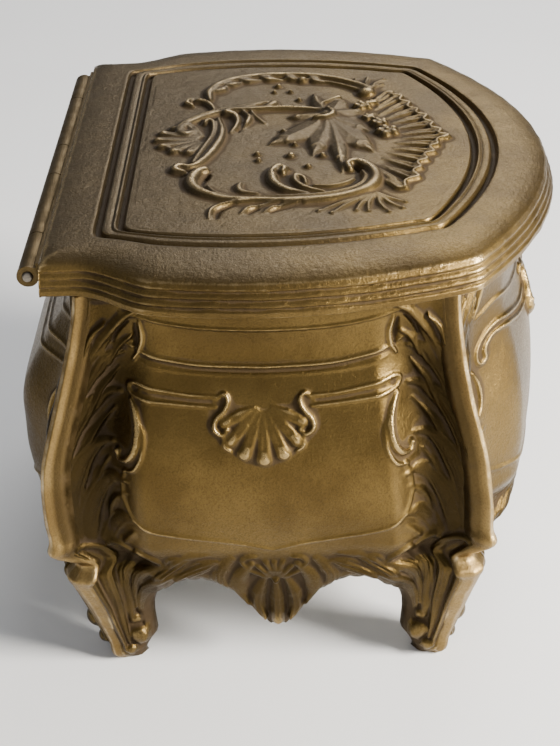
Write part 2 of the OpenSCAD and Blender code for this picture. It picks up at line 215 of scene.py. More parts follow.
class Relief:
    """A height map in mm over a rectangle of a surface, with brushes that follow curves."""

    def __init__(self, lo, hi, cell):
        self.lo, self.cell = np.array(lo, float), cell
        n = np.ceil((np.array(hi) - self.lo) / cell).astype(int) + 1
        self.u = self.lo[0] + np.arange(n[0]) * cell
        self.v = self.lo[1] + np.arange(n[1]) * cell
        self.h = np.zeros((n[0], n[1]))

    def stroke(self, points, width, height, profile="round", smooth=True):
        """A ridge along a curve, or a groove where height is below 0.
        width and height are one number, or a list spread along the curve."""
        p = spline(points) if smooth else np.array(points, float)
        s = np.linspace(0, 1, len(p))
        w = np.interp(s, np.linspace(0, 1, np.size(width)), np.atleast_1d(width))
        g = np.interp(s, np.linspace(0, 1, np.size(height)), np.atleast_1d(height))
        m = w.max() + self.cell
        i0, i1 = np.searchsorted(self.u, [p[:, 0].min() - m, p[:, 0].max() + m])
        j0, j1 = np.searchsorted(self.v, [p[:, 1].min() - m, p[:, 1].max() + m])
        if i0 >= i1 or j0 >= j1:
            return
        uu, vv = np.meshgrid(self.u[i0:i1], self.v[j0:j1], indexing="ij")
        best = np.zeros(uu.shape)
        for a in range(len(p) - 1):
            d = p[a + 1] - p[a]
            k = np.clip(((uu - p[a, 0]) * d[0] + (vv - p[a, 1]) * d[1]) / max(d @ d, 1e-9), 0, 1)
            r = np.hypot(uu - p[a, 0] - k * d[0], vv - p[a, 1] - k * d[1])
            r /= np.maximum(mix(w[a], w[a + 1], k), 1e-3)
            value = mix(g[a], g[a + 1], k) * PROFILES[profile](np.minimum(r, 1))
            best = np.where(np.abs(value) > np.abs(best), value, best)
        part = self.h[i0:i1, j0:j1]
        if g.max() <= 0:
            part += best
        else:
            np.maximum(part, best, out=part)

    def bead(self, at, radius, height):
        """A round bump, or a round hollow where height is below 0."""
        self.stroke([at, (at[0] + 1e-3, at[1])], radius, height, smooth=False)

    def mirrored(self, draw):
        """Adds what is drawn, and its mirror image about u = 0. The map itself is symmetrical."""
        layer = copy.copy(self)
        layer.h = np.zeros_like(self.h)
        draw(layer)
        other = layer.h[::-1]
        both = np.where(np.abs(layer.h) > np.abs(other), layer.h, other)
        self.h = np.where(both > 0, np.maximum(self.h, both), self.h + both)

    def sample(self, u, v):
        """The height at places between the cells."""
        x = np.clip((u - self.lo[0]) / self.cell, 0, self.h.shape[0] - 1.001)
        y = np.clip((v - self.lo[1]) / self.cell, 0, self.h.shape[1] - 1.001)
        i, j = x.astype(int), y.astype(int)
        fx, fy = x - i, y - j
        h = self.h
        return ((h[i, j] * (1 - fx) + h[i + 1, j] * fx) * (1 - fy)
                + (h[i, j + 1] * (1 - fx) + h[i + 1, j + 1] * fx) * fy)


def along(points, s):
    """The point and the direction at a fraction s of a curve."""
    p = spline(points)
    i = min(int(s * (len(p) - 1)), len(p) - 2)
    d = p[i + 1] - p[i]
    return p[i] + d * (s * (len(p) - 1) - i), d / max(np.hypot(*d), 1e-9)


def turned(v, degrees):
    """A direction turned anticlockwise."""
    a = math.radians(degrees)
    return np.array([v[0] * math.cos(a) - v[1] * math.sin(a), v[0] * math.sin(a) + v[1] * math.cos(a)])


def shell(relief, centre, spread, ribs, near, far, fat, height, aim=-90):
    """A fan of swelling ribs with hollows between; far is the reach at the middle and the sides."""
    for k in range(ribs):
        f = 2 * k / (ribs - 1) - 1
        a = math.radians(aim + f * spread)
        d = np.array([math.cos(a), math.sin(a)])
        reach = mix(far[0], far[1], f * f)
        start, end = np.array(centre) + d * near, np.array(centre) + d * reach
        relief.stroke([start, end], [fat * 0.3, fat * 0.75, fat, fat * 0.95],
                      [height * 0.6, height * 0.8, height])
        relief.stroke([start, mix(start, end, 0.9)], [0.12, 0.22], [-0.1 * height, -0.35 * height], "soft")


# ---------------------------------------------------------------- meshes
def waves(p, size, seed, octaves=3):
    """Smooth, seeded unevenness between -1 and 1, from points in mm."""
    rng = np.random.default_rng(seed)
    out = np.zeros(p.shape[:-1])
    total = 0.0
    for k in range(octaves):
        for _ in range(6):
            d = rng.normal(size=3)
            d *= 2 * np.pi * 2**k / size / np.linalg.norm(d)
            out += np.sin(p @ d + rng.uniform(0, 2 * np.pi)) / 2**k
            total += 0.5 / 2**k
    return out / total


def normals(p, wrap=False):
    """The directions square to a grid of points; wrap joins its last row to its first."""
    if wrap:
        du = np.roll(p, -1, 0) - np.roll(p, 1, 0)
    else:
        du = np.gradient(p, axis=0)
    n = np.cross(du, np.gradient(p, axis=1))
    return n / np.maximum(np.linalg.norm(n, axis=-1, keepdims=True), 1e-12)


def smooth_grid(p, passes, wrap):
    """The same grid with its fine detail smoothed away."""
    for _ in range(passes):
        if wrap:
            p = (np.roll(p, 1, 0) + p + np.roll(p, -1, 0)) / 3
        else:
            q = np.concatenate([p[:1], p, p[-1:]])
            p = (q[:-2] + q[1:-1] + q[2:]) / 3
        q = np.concatenate([p[:, :1], p, p[:, -1:]], 1)
        p = (q[:, :-2] + q[:, 1:-1] + q[:, 2:]) / 3
    return p


def convexity(p, n, passes=12, wrap=False, scale=0.18):
    """How far each point stands out of its surroundings, 0.5 where it is flat."""
    d = np.einsum("ijk,ijk->ij", p - smooth_grid(p, passes, wrap), n)
    return np.clip(0.5 + 0.5 * d / scale, 0, 1)


def wear(p, n, wrap=False):
    """Convexity at two scales: 0 deep in a hollow, 0.5 on the flat, 1 on a crest."""
    return np.clip(0.6 * convexity(p, n, 10, wrap, 0.10) + 0.4 * convexity(p, n, 60, wrap, 0.5), 0, 1)


def grid_faces(n, m, wrap=False, first=0):
    """The squares of a grid of n by m points, numbered from first; wrap joins its last row to its first."""
    i = np.arange(n if wrap else n - 1)[:, None]
    j = np.arange(m - 1)[None, :]
    k = (i + 1) % n
    corners = [i * m + j, k * m + j, k * m + j + 1, i * m + j + 1]
    return first + np.stack(corners, -1).reshape(-1, 4)


def new_mesh(name, verts, faces, attributes=None, smooth=True):
    """An object from points in mm, with its per-point attributes."""
    mesh = bpy.data.meshes.new(name)
    mesh.from_pydata((np.asarray(verts) * MM).tolist(), [], [list(map(int, f)) for f in faces])
    for key, values in (attributes or {}).items():
        mesh.attributes.new(key, "FLOAT", "POINT").data.foreach_set("value", np.asarray(values, np.float32))
    mesh.validate()
    if smooth:
        mesh.polygons.foreach_set("use_smooth", np.ones(len(mesh.polygons), bool))
    obj = bpy.data.objects.new(name, mesh)
    bpy.context.scene.collection.objects.link(obj)
    return obj


def keep(obj, body, slot, material, *nodes):
    """Puts a finished piece on its body, with its material, in place of CAD nodes. slot is not used."""
    obj.data.materials.clear()
    obj.data.materials.append(material)
    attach(obj, body)
    if nodes:
        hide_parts(*nodes)
    return obj


def stitched(fine, coarse, k):
    """Triangles between a fine loop of vertex numbers and a coarse one with every k-th of them."""
    out = []
    for c in range(len(coarse) - 1):
        a, b = coarse[c], coarse[c + 1]
        for j in range(k):
            out.append((fine[c * k + j], a if j < k / 2 else b, fine[c * k + j + 1]))
        out.append((fine[c * k + k // 2], a, b))
    return out


def solid_from_grids(name, outer, inner, k, convex, painted_shade=0.0):
    """A closed shell: a fine outer grid, and an inner grid with every k-th row and column."""
    n, m = outer.shape[:2]
    p, q = inner.shape[:2]
    first = n * m
    faces = [tuple(f) for f in grid_faces(n, m)] + [tuple(f[::-1]) for f in grid_faces(p, q, first=first)]
    fine = np.arange(first).reshape(n, m)
    coarse = first + np.arange(p * q).reshape(p, q)
    for edge in (np.s_[:, 0], np.s_[:, -1], np.s_[0, :], np.s_[-1, :]):
        faces += stitched(fine[edge], coarse[edge], k)
    verts = np.concatenate([outer.reshape(-1, 3), inner.reshape(-1, 3)])
    values = np.concatenate([convex.ravel(), np.full(p * q, 0.4)])
    # deep carries painted shade: painted_shade on the outer grid, and 0.6 on the inner grid.
    deep = np.concatenate([np.ravel(painted_shade + 0 * convex), np.full(p * q, 0.6)])
    return outward(new_mesh(name, verts + [0, SHIFT_Y, 0], faces, {"convex": values, "deep": deep}))


def outward(obj):
    """Turns all faces outward."""
    bm = bmesh.new()
    bm.from_mesh(obj.data)
    bmesh.ops.recalc_face_normals(bm, faces=bm.faces)
    bm.to_mesh(obj.data)
    bm.free()
    return obj


# ---------------------------------------------------------------- relief of the body castings
SIDE_REACH, LONG_REACH = 28.0, 38.0
SIDE_CELL, LONG_CELL, LID_CELL = 0.1, 0.125, 0.09


def beside_ridge(reach, points):
    """Places on a wall's map, from how far they lie from the ridge and their height."""
    return [(reach - e, z) for e, z in points]


def plume(r, rib, width, height, grooves=3, depth=0.34, cut_w=0.21):
    """One lobe of acanthus: a low crowned blade with fine grooves along it."""
    r.stroke(rib, width, height, "dome")
    p = spline(rib)
    d = np.gradient(p, axis=0)
    side = np.stack([-d[:, 1], d[:, 0]], -1) / np.maximum(np.hypot(d[:, 0], d[:, 1]), 1e-9)[:, None]
    s = np.linspace(0, 1, len(p))
    w = np.interp(s, np.linspace(0, 1, np.size(width)), np.atleast_1d(width))
    top = np.max(height)
    for f in np.linspace(-0.58, 0.58, grooves) if grooves > 1 else (0.0,):
        cut = p + side * (w * f)[:, None]
        r.stroke(cut[1:-1], [0.5 * cut_w, cut_w, cut_w, 0.5 * cut_w],
                 [-0.4 * depth * top, -depth * top, -depth * top, -0.3 * depth * top], "soft", smooth=False)


def scroll(r, points, width, height):
    """A raised scroll: its line, and a small ball where it curls up."""
    r.stroke(points, width, height)
    r.bead(points[-1], 1.25 * np.atleast_1d(width)[-1], 1.1 * np.max(height))


def cove_relief(r, reach):
    """Acanthus in the hollow beside a ridge: blades that leave the ridge and curl towards the panel."""
    at = lambda pts: beside_ridge(reach, pts)
    blades = (
        ([(1.5, 24), (1.0, 30), (1.1, 37), (2.1, 43), (4.4, 46.6), (7.0, 47.4)], 1.5, 0.75),
        ([(2.6, 24), (2.3, 30), (2.9, 35.6), (4.6, 39.4), (7.2, 40.4)], 1.4, 0.70),
        ([(3.4, 22), (3.5, 27), (4.8, 32), (7.0, 35.0), (9.2, 35.4)], 1.35, 0.65),
        ([(1.2, 38), (1.3, 44), (2.2, 49), (4.2, 52.2), (6.4, 52.8)], 1.3, 0.70),
        ([(1.6, 46), (2.2, 51), (3.2, 54.4), (4.6, 57)], 1.0, 0.60),
        ([(5.2, 21.5), (5.8, 25.4), (7.8, 28.6), (9.8, 29.2)], 1.2, 0.55),
    )
    for rib, wide, tall in blades:
        plume(r, at(rib), [0.3 * wide, 0.8 * wide, wide, 0.8 * wide, 0.25 * wide],
              [0.3 * tall, 0.7 * tall, tall, 0.9 * tall, 0.5 * tall], 5, 0.62, 0.15)
        outer = np.array(rib) + [1.5 * wide, -1.6]
        plume(r, at(outer[1:-1]), [0.2 * wide, 0.5 * wide, 0.5 * wide, 0.15 * wide],
              [0.2 * tall, 0.6 * tall, 0.7 * tall, 0.3 * tall], 2, 0.6, 0.15)


def neck_relief(r, reach):
    """Short leaves under the lid at each corner, with deep crescent cuts between them."""
    at = lambda pts: beside_ridge(reach, pts)
    plume(r, at([(0.7, 53.0), (1.2, 55.6), (2.8, 57.4)]), [0.3, 0.6, 0.25], [0.5, 0.9, 0.9], 1)
    plume(r, at([(2.2, 52.5), (3.4, 55.5), (5.4, 58.2), (7.6, 59.6)]), [0.4, 0.9, 0.9, 0.3],
          [0.4, 0.7, 0.7, 0.4], 2)
    plume(r, at([(4.6, 51.2), (5.6, 53.8), (7.4, 55.6)]), [0.4, 0.8, 0.3], [0.4, 0.6, 0.4], 2)
    r.stroke(at([(8.2, 52.0), (8.9, 53.6), (9.0, 55.8), (8.2, 58.2)]), [0.2, 0.42, 0.42, 0.12], 0.45, "round")
    r.stroke(at([(8.3, 53.4), (7.9, 55.4), (7.5, 57.4)]), [0.3, 0.6, 0.2], -0.7, "soft")
    r.stroke(at([(6.4, 57.8), (5.2, 56.4), (4.6, 54.6)]), [0.2, 0.5, 0.2], -0.6, "soft")


def leg_relief(r, reach):
    """Long flames that run down the leg into a scrolled toe."""
    at = lambda pts: beside_ridge(reach, pts)
    plume(r, at([(1.0, 23.2), (1.3, 18), (1.2, 12), (0.95, 7), (0.9, 2.4)]), [0.5, 0.8, 0.75, 0.55, 0.35],
          [0.5, 0.9, 0.9, 0.8, 0.6], 2)
    plume(r, at([(3.8, 23.0), (3.4, 18), (2.9, 12.6), (2.2, 8), (1.8, 4)]), [0.5, 1.05, 0.95, 0.7, 0.4],
          [0.5, 0.95, 0.95, 0.85, 0.6], 3)
    plume(r, at([(8.2, 22.2), (6.4, 19.2), (5.1, 15.2), (4.2, 11), (3.7, 8)]), [0.5, 1.05, 1.0, 0.8, 0.5],
          [0.5, 0.95, 1.0, 0.9, 0.7], 4, 0.5, 0.17)
    plume(r, at([(12.4, 20.8), (9.6, 19.6), (7.5, 17.2), (6.0, 14.0), (5.0, 10.6)]),
          [0.4, 1.05, 1.1, 0.9, 0.4], [0.45, 0.9, 1.0, 0.9, 0.7], 4, 0.5, 0.17)
    plume(r, at([(13.8, 18.9), (10.7, 17.4), (8.0, 15.2), (6.2, 12.4), (5.3, 9.6)]),
          [0.3, 0.7, 0.8, 0.65, 0.3], [0.4, 0.75, 0.85, 0.75, 0.5], 3, 0.5, 0.17)
    for spot, radius, height in (((4.2, 5.0), 1.9, 1.45), ((4.3, 8.3), 1.0, 0.7), ((1.9, 2.5), 1.1, 0.8)):
        r.bead(at([spot])[0], radius, height)
    for e, z in ((2.4, 24.2), (5.8, 23.8), (9.4, 23.0)):
        plume(r, at([(e + 1.8, z - 3.4), (e + 1.5, z - 1.2), (e, z), (e - 1.0, z - 0.6)]),
              [0.3, 0.6, 0.6, 0.3], [0.4, 0.65, 0.75, 0.6], 1)


def apron_relief(r, span):
    """Hair-like leaves along the arch, and the hanging shell in the middle with a small fan over it."""
    far = span / 14.0
    leaves = (
        ([(6.0, 22.0), (7.8, 19.9), (7.9, 16.8), (7.0, 14.2)], [0.5, 1.35, 1.35, 0.5], 0.65),
        ([(8.4, 21.4), (10.6 * far, 20.6), (13.2 * far, 19.2), (14.6 * far, 17.8)],
         [0.5, 1.4, 1.3, 0.4], 0.7),
        ([(12.2 * far, 22.2), (14.4 * far, 21.2), (16.6 * far, 19.0), (17.8 * far, 16.6)],
         [0.5, 1.4, 1.3, 0.4], 0.75),
        ([(9.2, 22.9), (11.4 * far, 22.6), (14.0 * far, 22.0)], [0.3, 0.8, 0.3], 0.45),
    )
    for rib, wide, tall in leaves:
        plume(r, rib, wide, [0.4 * tall, tall, tall, 0.8 * tall], 3, 0.6)
    plume(r, [(3.4, 21.0), (5.0, 18.9), (5.6, 16.2), (5.0, 13.2)], [0.5, 1.3, 1.4, 0.7],
          [0.5, 0.85, 0.95, 0.8], 4, 0.4)
    plume(r, [(1.6, 17.8), (2.7, 15.0), (3.0, 12.2), (2.4, 9.8)], [0.5, 1.25, 1.3, 0.7], [0.5, 1.0, 1.1, 0.9],
          3, 0.4)
    r.stroke([(4.9, 14.4), (4.5, 12.6)], [0.3, 0.36], [0.9, 1.15])
    r.stroke([(2.5, 12.0), (2.0, 9.8)], [0.3, 0.42], [1.0, 1.35])
    scroll(r, [(2.6, 22.4), (4.0, 22.2), (4.8, 21.2), (4.2, 20.4)], [0.2, 0.34, 0.34, 0.3], 0.5)
    for aim in (20, 44, 66):
        c, d = math.sin(math.radians(aim)), math.cos(math.radians(aim))
        r.stroke([(0.5 * c, 17.6 + 0.5 * d), (3.6 * c, 17.8 + 3.6 * d)], [0.15, 0.4, 0.42], [0.35, 0.6, 0.5],
                 "leaf")


def centre_of_apron(r):
    """The middle rib of the hanging shell, and the middle ray of the fan over it."""
    plume(r, [(0, 17.4), (0, 14.0), (0, 10.8), (0, 8.8)], [0.5, 1.2, 1.35, 1.0], [0.5, 1.05, 1.15, 1.0], 3,
          0.35)
    r.stroke([(0, 18.1), (0, 21.2)], [0.2, 0.4, 0.42], [0.4, 0.65, 0.5], "leaf")
    r.bead((0, 17.6), 0.6, 0.9)


def wall_shell(r, centre, ribs, reach, spread, height):
    """A small cast shell: a shallow dome scored into ribs, each with a lip at its end."""
    for k in range(ribs):
        f = 2 * k / (ribs - 1) - 1
        a = math.radians(-90 + f * spread)
        far = mix(reach[0], reach[1], abs(f) ** 1.4)
        d = np.array([math.cos(a), math.sin(a)])
        start, end = np.array(centre) + 1.2 * d, np.array(centre) + far * d
        fat = 0.42 * far * math.radians(2 * spread / (ribs - 1))
        r.stroke([start, end], [0.2, 0.85 * fat, fat], [0.3 * height, 0.7 * height, 0.75 * height], "dome")
        r.stroke([mix(start, end, 0.80), end], [0.22, 0.34], [0.8 * height, height])
        r.stroke([mix(start, end, 0.1), mix(start, end, 0.8)], [0.1, 0.2], [-0.15 * height, -0.4 * height],
                 "soft")


def side_relief():
    """The relief of an end wall, drawn flat: across from its middle, and the height."""
    r = Relief((-29, -1), (29, 63), SIDE_CELL)
    r.stroke([(-23, 59.2), (-12, 57.6), (0, 57.1), (12, 57.6), (23, 59.2)], 0.24, 0.28)
    wall_shell(r, (0, 46.9), ribs=7, reach=(7.2, 6.0), spread=66, height=0.85)

    def draw(m):
        m.stroke([(0, 51.2), (9, 51.6), (15, 52.5), (19.0, 53.5), (21.4, 54.3)], [0.3, 0.3, 0.3, 0.3, 0.1],
                 0.34)
        m.stroke([(0, 50.2), (9, 50.5), (15, 51.2), (18.6, 52.0)], [0.22, 0.22, 0.22, 0.1], 0.2)
        m.stroke([(0, 50.75), (9, 51.1), (18.6, 52.8)], 0.26, -0.2, "soft")
        m.stroke([(6.4, 47.7), (11, 48.0), (16.4, 48.8), (18.8, 49.1), (19.9, 48.6), (19.6, 47.8),
                  (18.4, 47.4), (11, 46.7), (6.8, 46.4)],
                 [0.16, 0.2, 0.24, 0.34, 0.38, 0.34, 0.26, 0.2, 0.15], 0.34)
        m.stroke([(6.9, 47.05), (11, 47.35), (17.8, 48.2)], 0.26, -0.14, "soft")
        m.bead((18.9, 48.3), 0.3, -0.4)
        scroll(m, [(6.9, 47.5), (5.9, 48.1), (5.2, 47.3), (5.7, 46.0), (6.8, 44.9), (6.9, 43.6), (5.8, 42.9),
                   (5.1, 43.6)], [0.18, 0.28, 0.33, 0.36, 0.38, 0.38, 0.34, 0.28],
               [0.3, 0.5, 0.7, 0.75, 0.8, 0.8, 0.75, 0.6])
        m.stroke([(5.6, 42.6), (5.4, 41.4), (4.5, 40.7)], [0.2, 0.3, 0.2], 0.5)
        scroll(m, [(19.2, 46.9), (18.2, 45.4), (17.5, 43.0), (17.6, 40.6), (18.5, 38.9), (19.6, 38.5),
                   (19.9, 39.5)], [0.25, 0.42, 0.5, 0.5, 0.42, 0.35, 0.3],
               [0.5, 0.75, 0.85, 0.85, 0.8, 0.7, 0.6])
        m.stroke([(18.9, 46.0), (16.9, 43.2), (16.7, 40.2), (17.6, 37.8), (19.2, 36.8)],
                 [0.15, 0.3, 0.3, 0.25, 0.15], 0.4)
        m.stroke([(18.8, 37.4), (19.4, 34.8), (19.4, 32.2), (18.5, 29.8), (16.4, 28.0), (13.2, 27.0),
                  (8.6, 26.1), (4, 25.1), (0, 23.8)], [0.2, 0.2, 0.2, 0.22, 0.24, 0.22, 0.2, 0.18, 0.12], 0.3)

    r.mirrored(draw)
    r.mirrored(lambda m: (cove_relief(m, SIDE_REACH), neck_relief(m, SIDE_REACH), apron_relief(m, 14.0),
                          leg_relief(m, SIDE_REACH)))
    centre_of_apron(r)
    r.h = blurred(r.h, 1.2)
    return r


def long_relief(front):
    """The relief of the front or the back wall, drawn flat. The back's ornament is the plainer one."""
    r = Relief((-39, -1), (39, 63), LONG_CELL)
    r.stroke([(-33, 59.2), (-18, 57.7), (0, 57.2), (18, 57.7), (33, 59.2)], 0.24, 0.26)
    if front:
        wall_shell(r, (0, 48.6), ribs=9, reach=(8.8, 8.6), spread=72, height=1.2)
    else:
        r.stroke([(-31, 52.6), (0, 51.4), (31, 52.6)], 0.28, 0.28)

    def draw(m):
        if front:
            m.stroke([(0, 51.2), (11, 51.2), (17.9, 51.6), (22, 52.4), (24.6, 52.6), (27.3, 51.8),
                      (28.7, 51.4)], [0.28, 0.28, 0.28, 0.28, 0.28, 0.28, 0.12], 0.34)
            m.stroke([(9.6, 47.4), (13.7, 47.4), (17, 47.8), (22, 49.0), (24.5, 49.3), (26.2, 48.9),
                      (27.4, 48.1), (28.4, 47.0), (28.7, 45.9), (28.4, 44.9), (27.7, 44.6), (27.2, 45.2),
                      (27.2, 46.3), (26.6, 47.3), (25.4, 48.0), (22.4, 47.9), (17.2, 46.5), (12.4, 45.8),
                      (9.8, 45.8)], [0.2] + [0.27] * 8 + [0.34] * 5 + [0.25] * 4 + [0.18], 0.42)
            scroll(m, [(9.6, 49.2), (8.2, 50.0), (7.2, 48.9), (8.0, 47.2), (9.5, 45.7), (9.7, 43.9),
                       (8.3, 42.8), (7.3, 43.8)], [0.25, 0.4, 0.45, 0.5, 0.52, 0.52, 0.45, 0.4],
                   [0.5, 0.8, 1.0, 1.1, 1.2, 1.2, 1.0, 0.9])
        else:
            m.stroke([(0, 46.4), (16, 46.8), (28.4, 47.2), (29.4, 48.2), (28.2, 49.2), (16, 48.7), (0, 48.2)],
                     0.24, 0.36)
        scroll(m, [(30.0, 44.2), (29.1, 42.6), (28.8, 40.6), (29.2, 38.8), (30.1, 37.9), (30.8, 38.6)],
               [0.2, 0.36, 0.4, 0.38, 0.3, 0.25], 0.6)
        m.stroke([(29.5, 36.8), (30.0, 34), (29.7, 30.6), (28.0, 28.2), (24, 27.0), (14, 25.8), (5, 24.9),
                  (0, 23.8)], 0.24, 0.32)

    r.mirrored(draw)
    r.mirrored(lambda m: (cove_relief(m, LONG_REACH), neck_relief(m, LONG_REACH), apron_relief(m, 20.0),
                          leg_relief(m, LONG_REACH)))
    centre_of_apron(r)
    r.h = blurred(r.h, 1.1)
    return r


COARSE = 4
END_SQUEEZE, ROW_SQUEEZE, EDGE_LIP = 0.12, 0.93, 0.5


def casting(name, point, reach, relief, columns, rows, seed, mirror=False):
    """A body casting: the CAD face, with its relief and a rounded lower edge."""
    s = np.linspace(-1, 1, columns)
    # The columns draw together near the ridges.
    t = (s + END_SQUEEZE * np.sin(np.pi * s))[:, None]
    low = low_edge(t, reach)
    v = np.linspace(0, 1, rows)[None, :] ** ROW_SQUEEZE
    z = low + EDGE_LIP + (BODY_TOP - low - EDGE_LIP) * v
    # The two lowest rows round the edge off.
    inset = np.zeros_like(z)
    for row, (rise, back) in enumerate(((0, 0.75), (0.16, 0.22))):
        z[:, row:row + 1] = low + rise
        inset[:, row] = back
    p = point(t, z, inset)
    base = point(t, z, 0)
    n = normals(smooth_grid(base, 30, False))
    centre = np.array([0, 0, 30.0])
    if np.einsum("ijk,ijk->", n, base - centre) < 0:
        n = -n
    from_ridge = (1 - np.abs(t)) * reach
    h = relief.sample(t * reach + 0 * z, z) + 0.05 * waves(base, 9.0, seed)
    h *= ease(from_ridge / 0.5)
    # A hollow runs down beside each ridge.
    carve = np.exp(-(((from_ridge - 1.8) / 2.2) ** 2)) * mix(0.35, 1.35, ease((z - 18) / 10))
    carve *= mix(1, 0.5, ease((z - 48) / 10))
    h = (h - carve) * ease((BODY_TOP - z) / 1.2)
    h[:, 0] *= 0.3
    h[:, 1] *= 0.7
    p = p + n * h[..., None]
    room = 0.95 * carve * (1 - ease((z - 50) / 6))
    inner = point(t[::COARSE], z[::COARSE, ::COARSE], WALL) - (n * room[..., None])[::COARSE, ::COARSE]
    convex = convexity(p, n)
    if mirror:
        p, inner = p * [-1, 1, 1], inner * [-1, 1, 1]
    # Painted shade lies beside the ridges, on the legs and under the lid.
    painted_shade = ease(from_ridge / 0.5) * (1 - ease((from_ridge - 6.0) / 3.2)) * (1 - 0.6 * ease((z - 49) / 8))
    painted_shade = np.maximum(painted_shade * mix(0.35, 1.0, ease((z - 18) / 7)),
                       0.60 * ease((24.5 - z) / 3) * ease((z - 7) / 6))
    painted_shade = np.maximum(painted_shade, 0.7 * ease((z - 58.4) / 2.5))
    convex = np.minimum(convex, mix(1.0, 0.66, painted_shade))
    return solid_from_grids(name, p, inner, COARSE, convex, painted_shade)


def ridge(name, back, sx, sy, seed):
    """The dressed strip on a corner, with the scrolled knee and the rounded toe."""
    z = np.linspace(0, 1, 320) * BODY_TOP
    out = out_back(z) if back else out_front(z)
    # Two scrolled knees, and a leg that is wider than the strip above.
    swell = 0.85 * np.exp(-(((z - 24.9) / 1.2) ** 2)) + 0.7 * np.exp(-(((z - 18.9) / 1.1) ** 2))
    leg = ease((24.0 - z) / 3.0)
    wide = BEAD_W / 2 * mix(0.74 - 0.10 * ease((z - 50) / 8), 1.7 - 0.8 * ease((13 - z) / 9), leg)
    u = np.linspace(-1, 1, 15)
    c = np.stack([FOOT_X + out, FOOT_Y + out], -1)
    across, outwards = np.array([1, -1]) / math.sqrt(2), np.array([1, 1]) / math.sqrt(2)
    hw = wide * (1 + 0.8 * swell)
    rough = 0.09 * waves(np.stack([z, z * 0 + seed, z * 0], -1), 5.0, seed)
    rows = []
    for k in u:
        crest = -0.85 + 1.80 * ease((abs(k) - 0.48) / 0.52)
        blade = -0.25 + 1.45 * abs(k) ** 2 + 0.07 * math.cos(3.4 * math.pi * k)
        drop = mix(crest, blade, leg) - 0.6 * swell * (1 - abs(k))
        drop += rough * (0.4 + 0.6 * math.cos(3 * k + seed))
        reach = hw * k if abs(k) < 0.99 else np.sign(k) * np.maximum(hw, BEAD_W / 2 - 0.01)
        rows.append(c + across * reach[:, None] - outwards * np.maximum(drop, -1.35)[:, None])
    inner = BEAD_W / 2 - 0.02
    for k in (1, -1):
        rows.append(c + across * inner * k - outwards * BEAD_D)
    p = np.stack(rows, 1)
    p = np.concatenate([p, np.repeat(z[:, None, None], p.shape[1], 1)], -1) * [sx, sy, 1]
    n, m = p.shape[:2]
    i = np.arange(n - 1)[:, None]
    j = np.arange(m)[None, :]
    faces = np.stack([i * m + j, (i + 1) * m + j, (i + 1) * m + (j + 1) % m, i * m + (j + 1) % m],
                     -1).reshape(-1, 4)
    faces = [tuple(f) for f in faces] + [tuple(range(m)), tuple((n - 1) * m + np.arange(m))]
    convex = np.full((n, m), 0.3)
    bright = 0.36 + 0.46 * np.exp(-((u / 0.60) ** 4))
    groove = 0.70 - 0.10 * np.cos(3.4 * math.pi * u)
    convex[:, :15] = mix(bright[None, :], groove[None, :], leg[:, None]) + 0.06 * waves(p[:, :15], 4.0, seed)
    # Painted shade on the strip's flanks, on its hidden faces and along the edges of the leg.
    deep = np.full((n, m), 0.9)
    deep[:, :15] = mix(0.9 * ease((np.abs(u) - 0.58) / 0.3)[None, :], 0.5 * (u**4)[None, :], leg[:, None])
    values = {"convex": convex.ravel(), "deep": deep.ravel()}
    return outward(new_mesh(name, p.reshape(-1, 3) + [0, SHIFT_Y, 0], faces, values))


# ---------------------------------------------------------------- lid
BOW_CENTRE, BOW_ROUND, STEP_LOW, STEP_HIGH = 2.0, 130.0, 14.5, 25.0


def half_outline(back, corner, apex, front_x, front_y, nose, counts=(140, 240, 140)):
    """Half of a lid outline, from the middle of the back round to the middle of the front."""
    nb, ns, nf = counts
    x_back = corner * np.arange(nb) / nb
    y = mix(back, -front_y, np.arange(ns) / ns)
    side = mix(apex - (y - BOW_CENTRE) ** 2 / BOW_ROUND, corner,
               ease((y - STEP_LOW) / (STEP_HIGH - STEP_LOW)))
    f = 1 - np.arange(nf + 1) / nf
    return np.concatenate([np.stack([x_back, back + 0 * x_back], -1), np.stack([side, y], -1),
                           np.stack([front_x * f, -nose + (nose - front_y) * f**2], -1)])


EDGE = half_outline(LID_BACK, 36.6, LID_SIDE, 36.5, 26.6, LID_FRONT)
FRAME = half_outline(LID_BACK - 6.7, 30.6, LID_SIDE - 8.4, 30.7, 22.6, LID_FRONT - 7)
PANEL = half_outline(LID_BACK - 10.5, 28.4, LID_SIDE - 11.8, 28.3, 20.5, LID_FRONT - 10.8)


def rounded_ring(ring, passes):
    """A closed outline with its corners softened."""
    for _ in range(passes):
        ring = (np.roll(ring, 1, 0) + 2 * ring + np.roll(ring, -1, 0)) / 4
    return ring


def lid_ring(q):
    """A ring of the lid: q is 0 at the top edge, 1 at the outer groove and 1.5 at the edge of the panel."""
    soften = int(4 + 56 * float(ease((q - 0.3) / 0.6)))
    h = mix(EDGE, FRAME, q) if q < 1 else mix(FRAME, PANEL, 2 * q - 2)
    ring = np.concatenate([h, h[-2:0:-1] * [-1, 1]])
    ring = rounded_ring(ring, soften)
    ring[:, 1] = np.minimum(ring[:, 1], LID_BACK)
    return ring


def reeds(count=4, steps=9):
    """The reeded rim, from the top edge down: each reed steps out a little under the last."""
    rows = []
    top, low = -1.15, -RIM_H + 0.25
    tall = (top - low) / count
    for k in range(count):
        for s in range(steps):
            a = math.pi * s / (steps - 1)
            q = -REED_OUT * (k + 0.5 - 0.5 * math.cos(a)) / count - 0.036 * math.sin(a) * (1 if k else 0.8)
            rows.append((q, top - tall * (k + s / (steps - 1))))
    return [(max(q, -REED_OUT), z) for q, z in rows]


SECTION_STEPS = 3


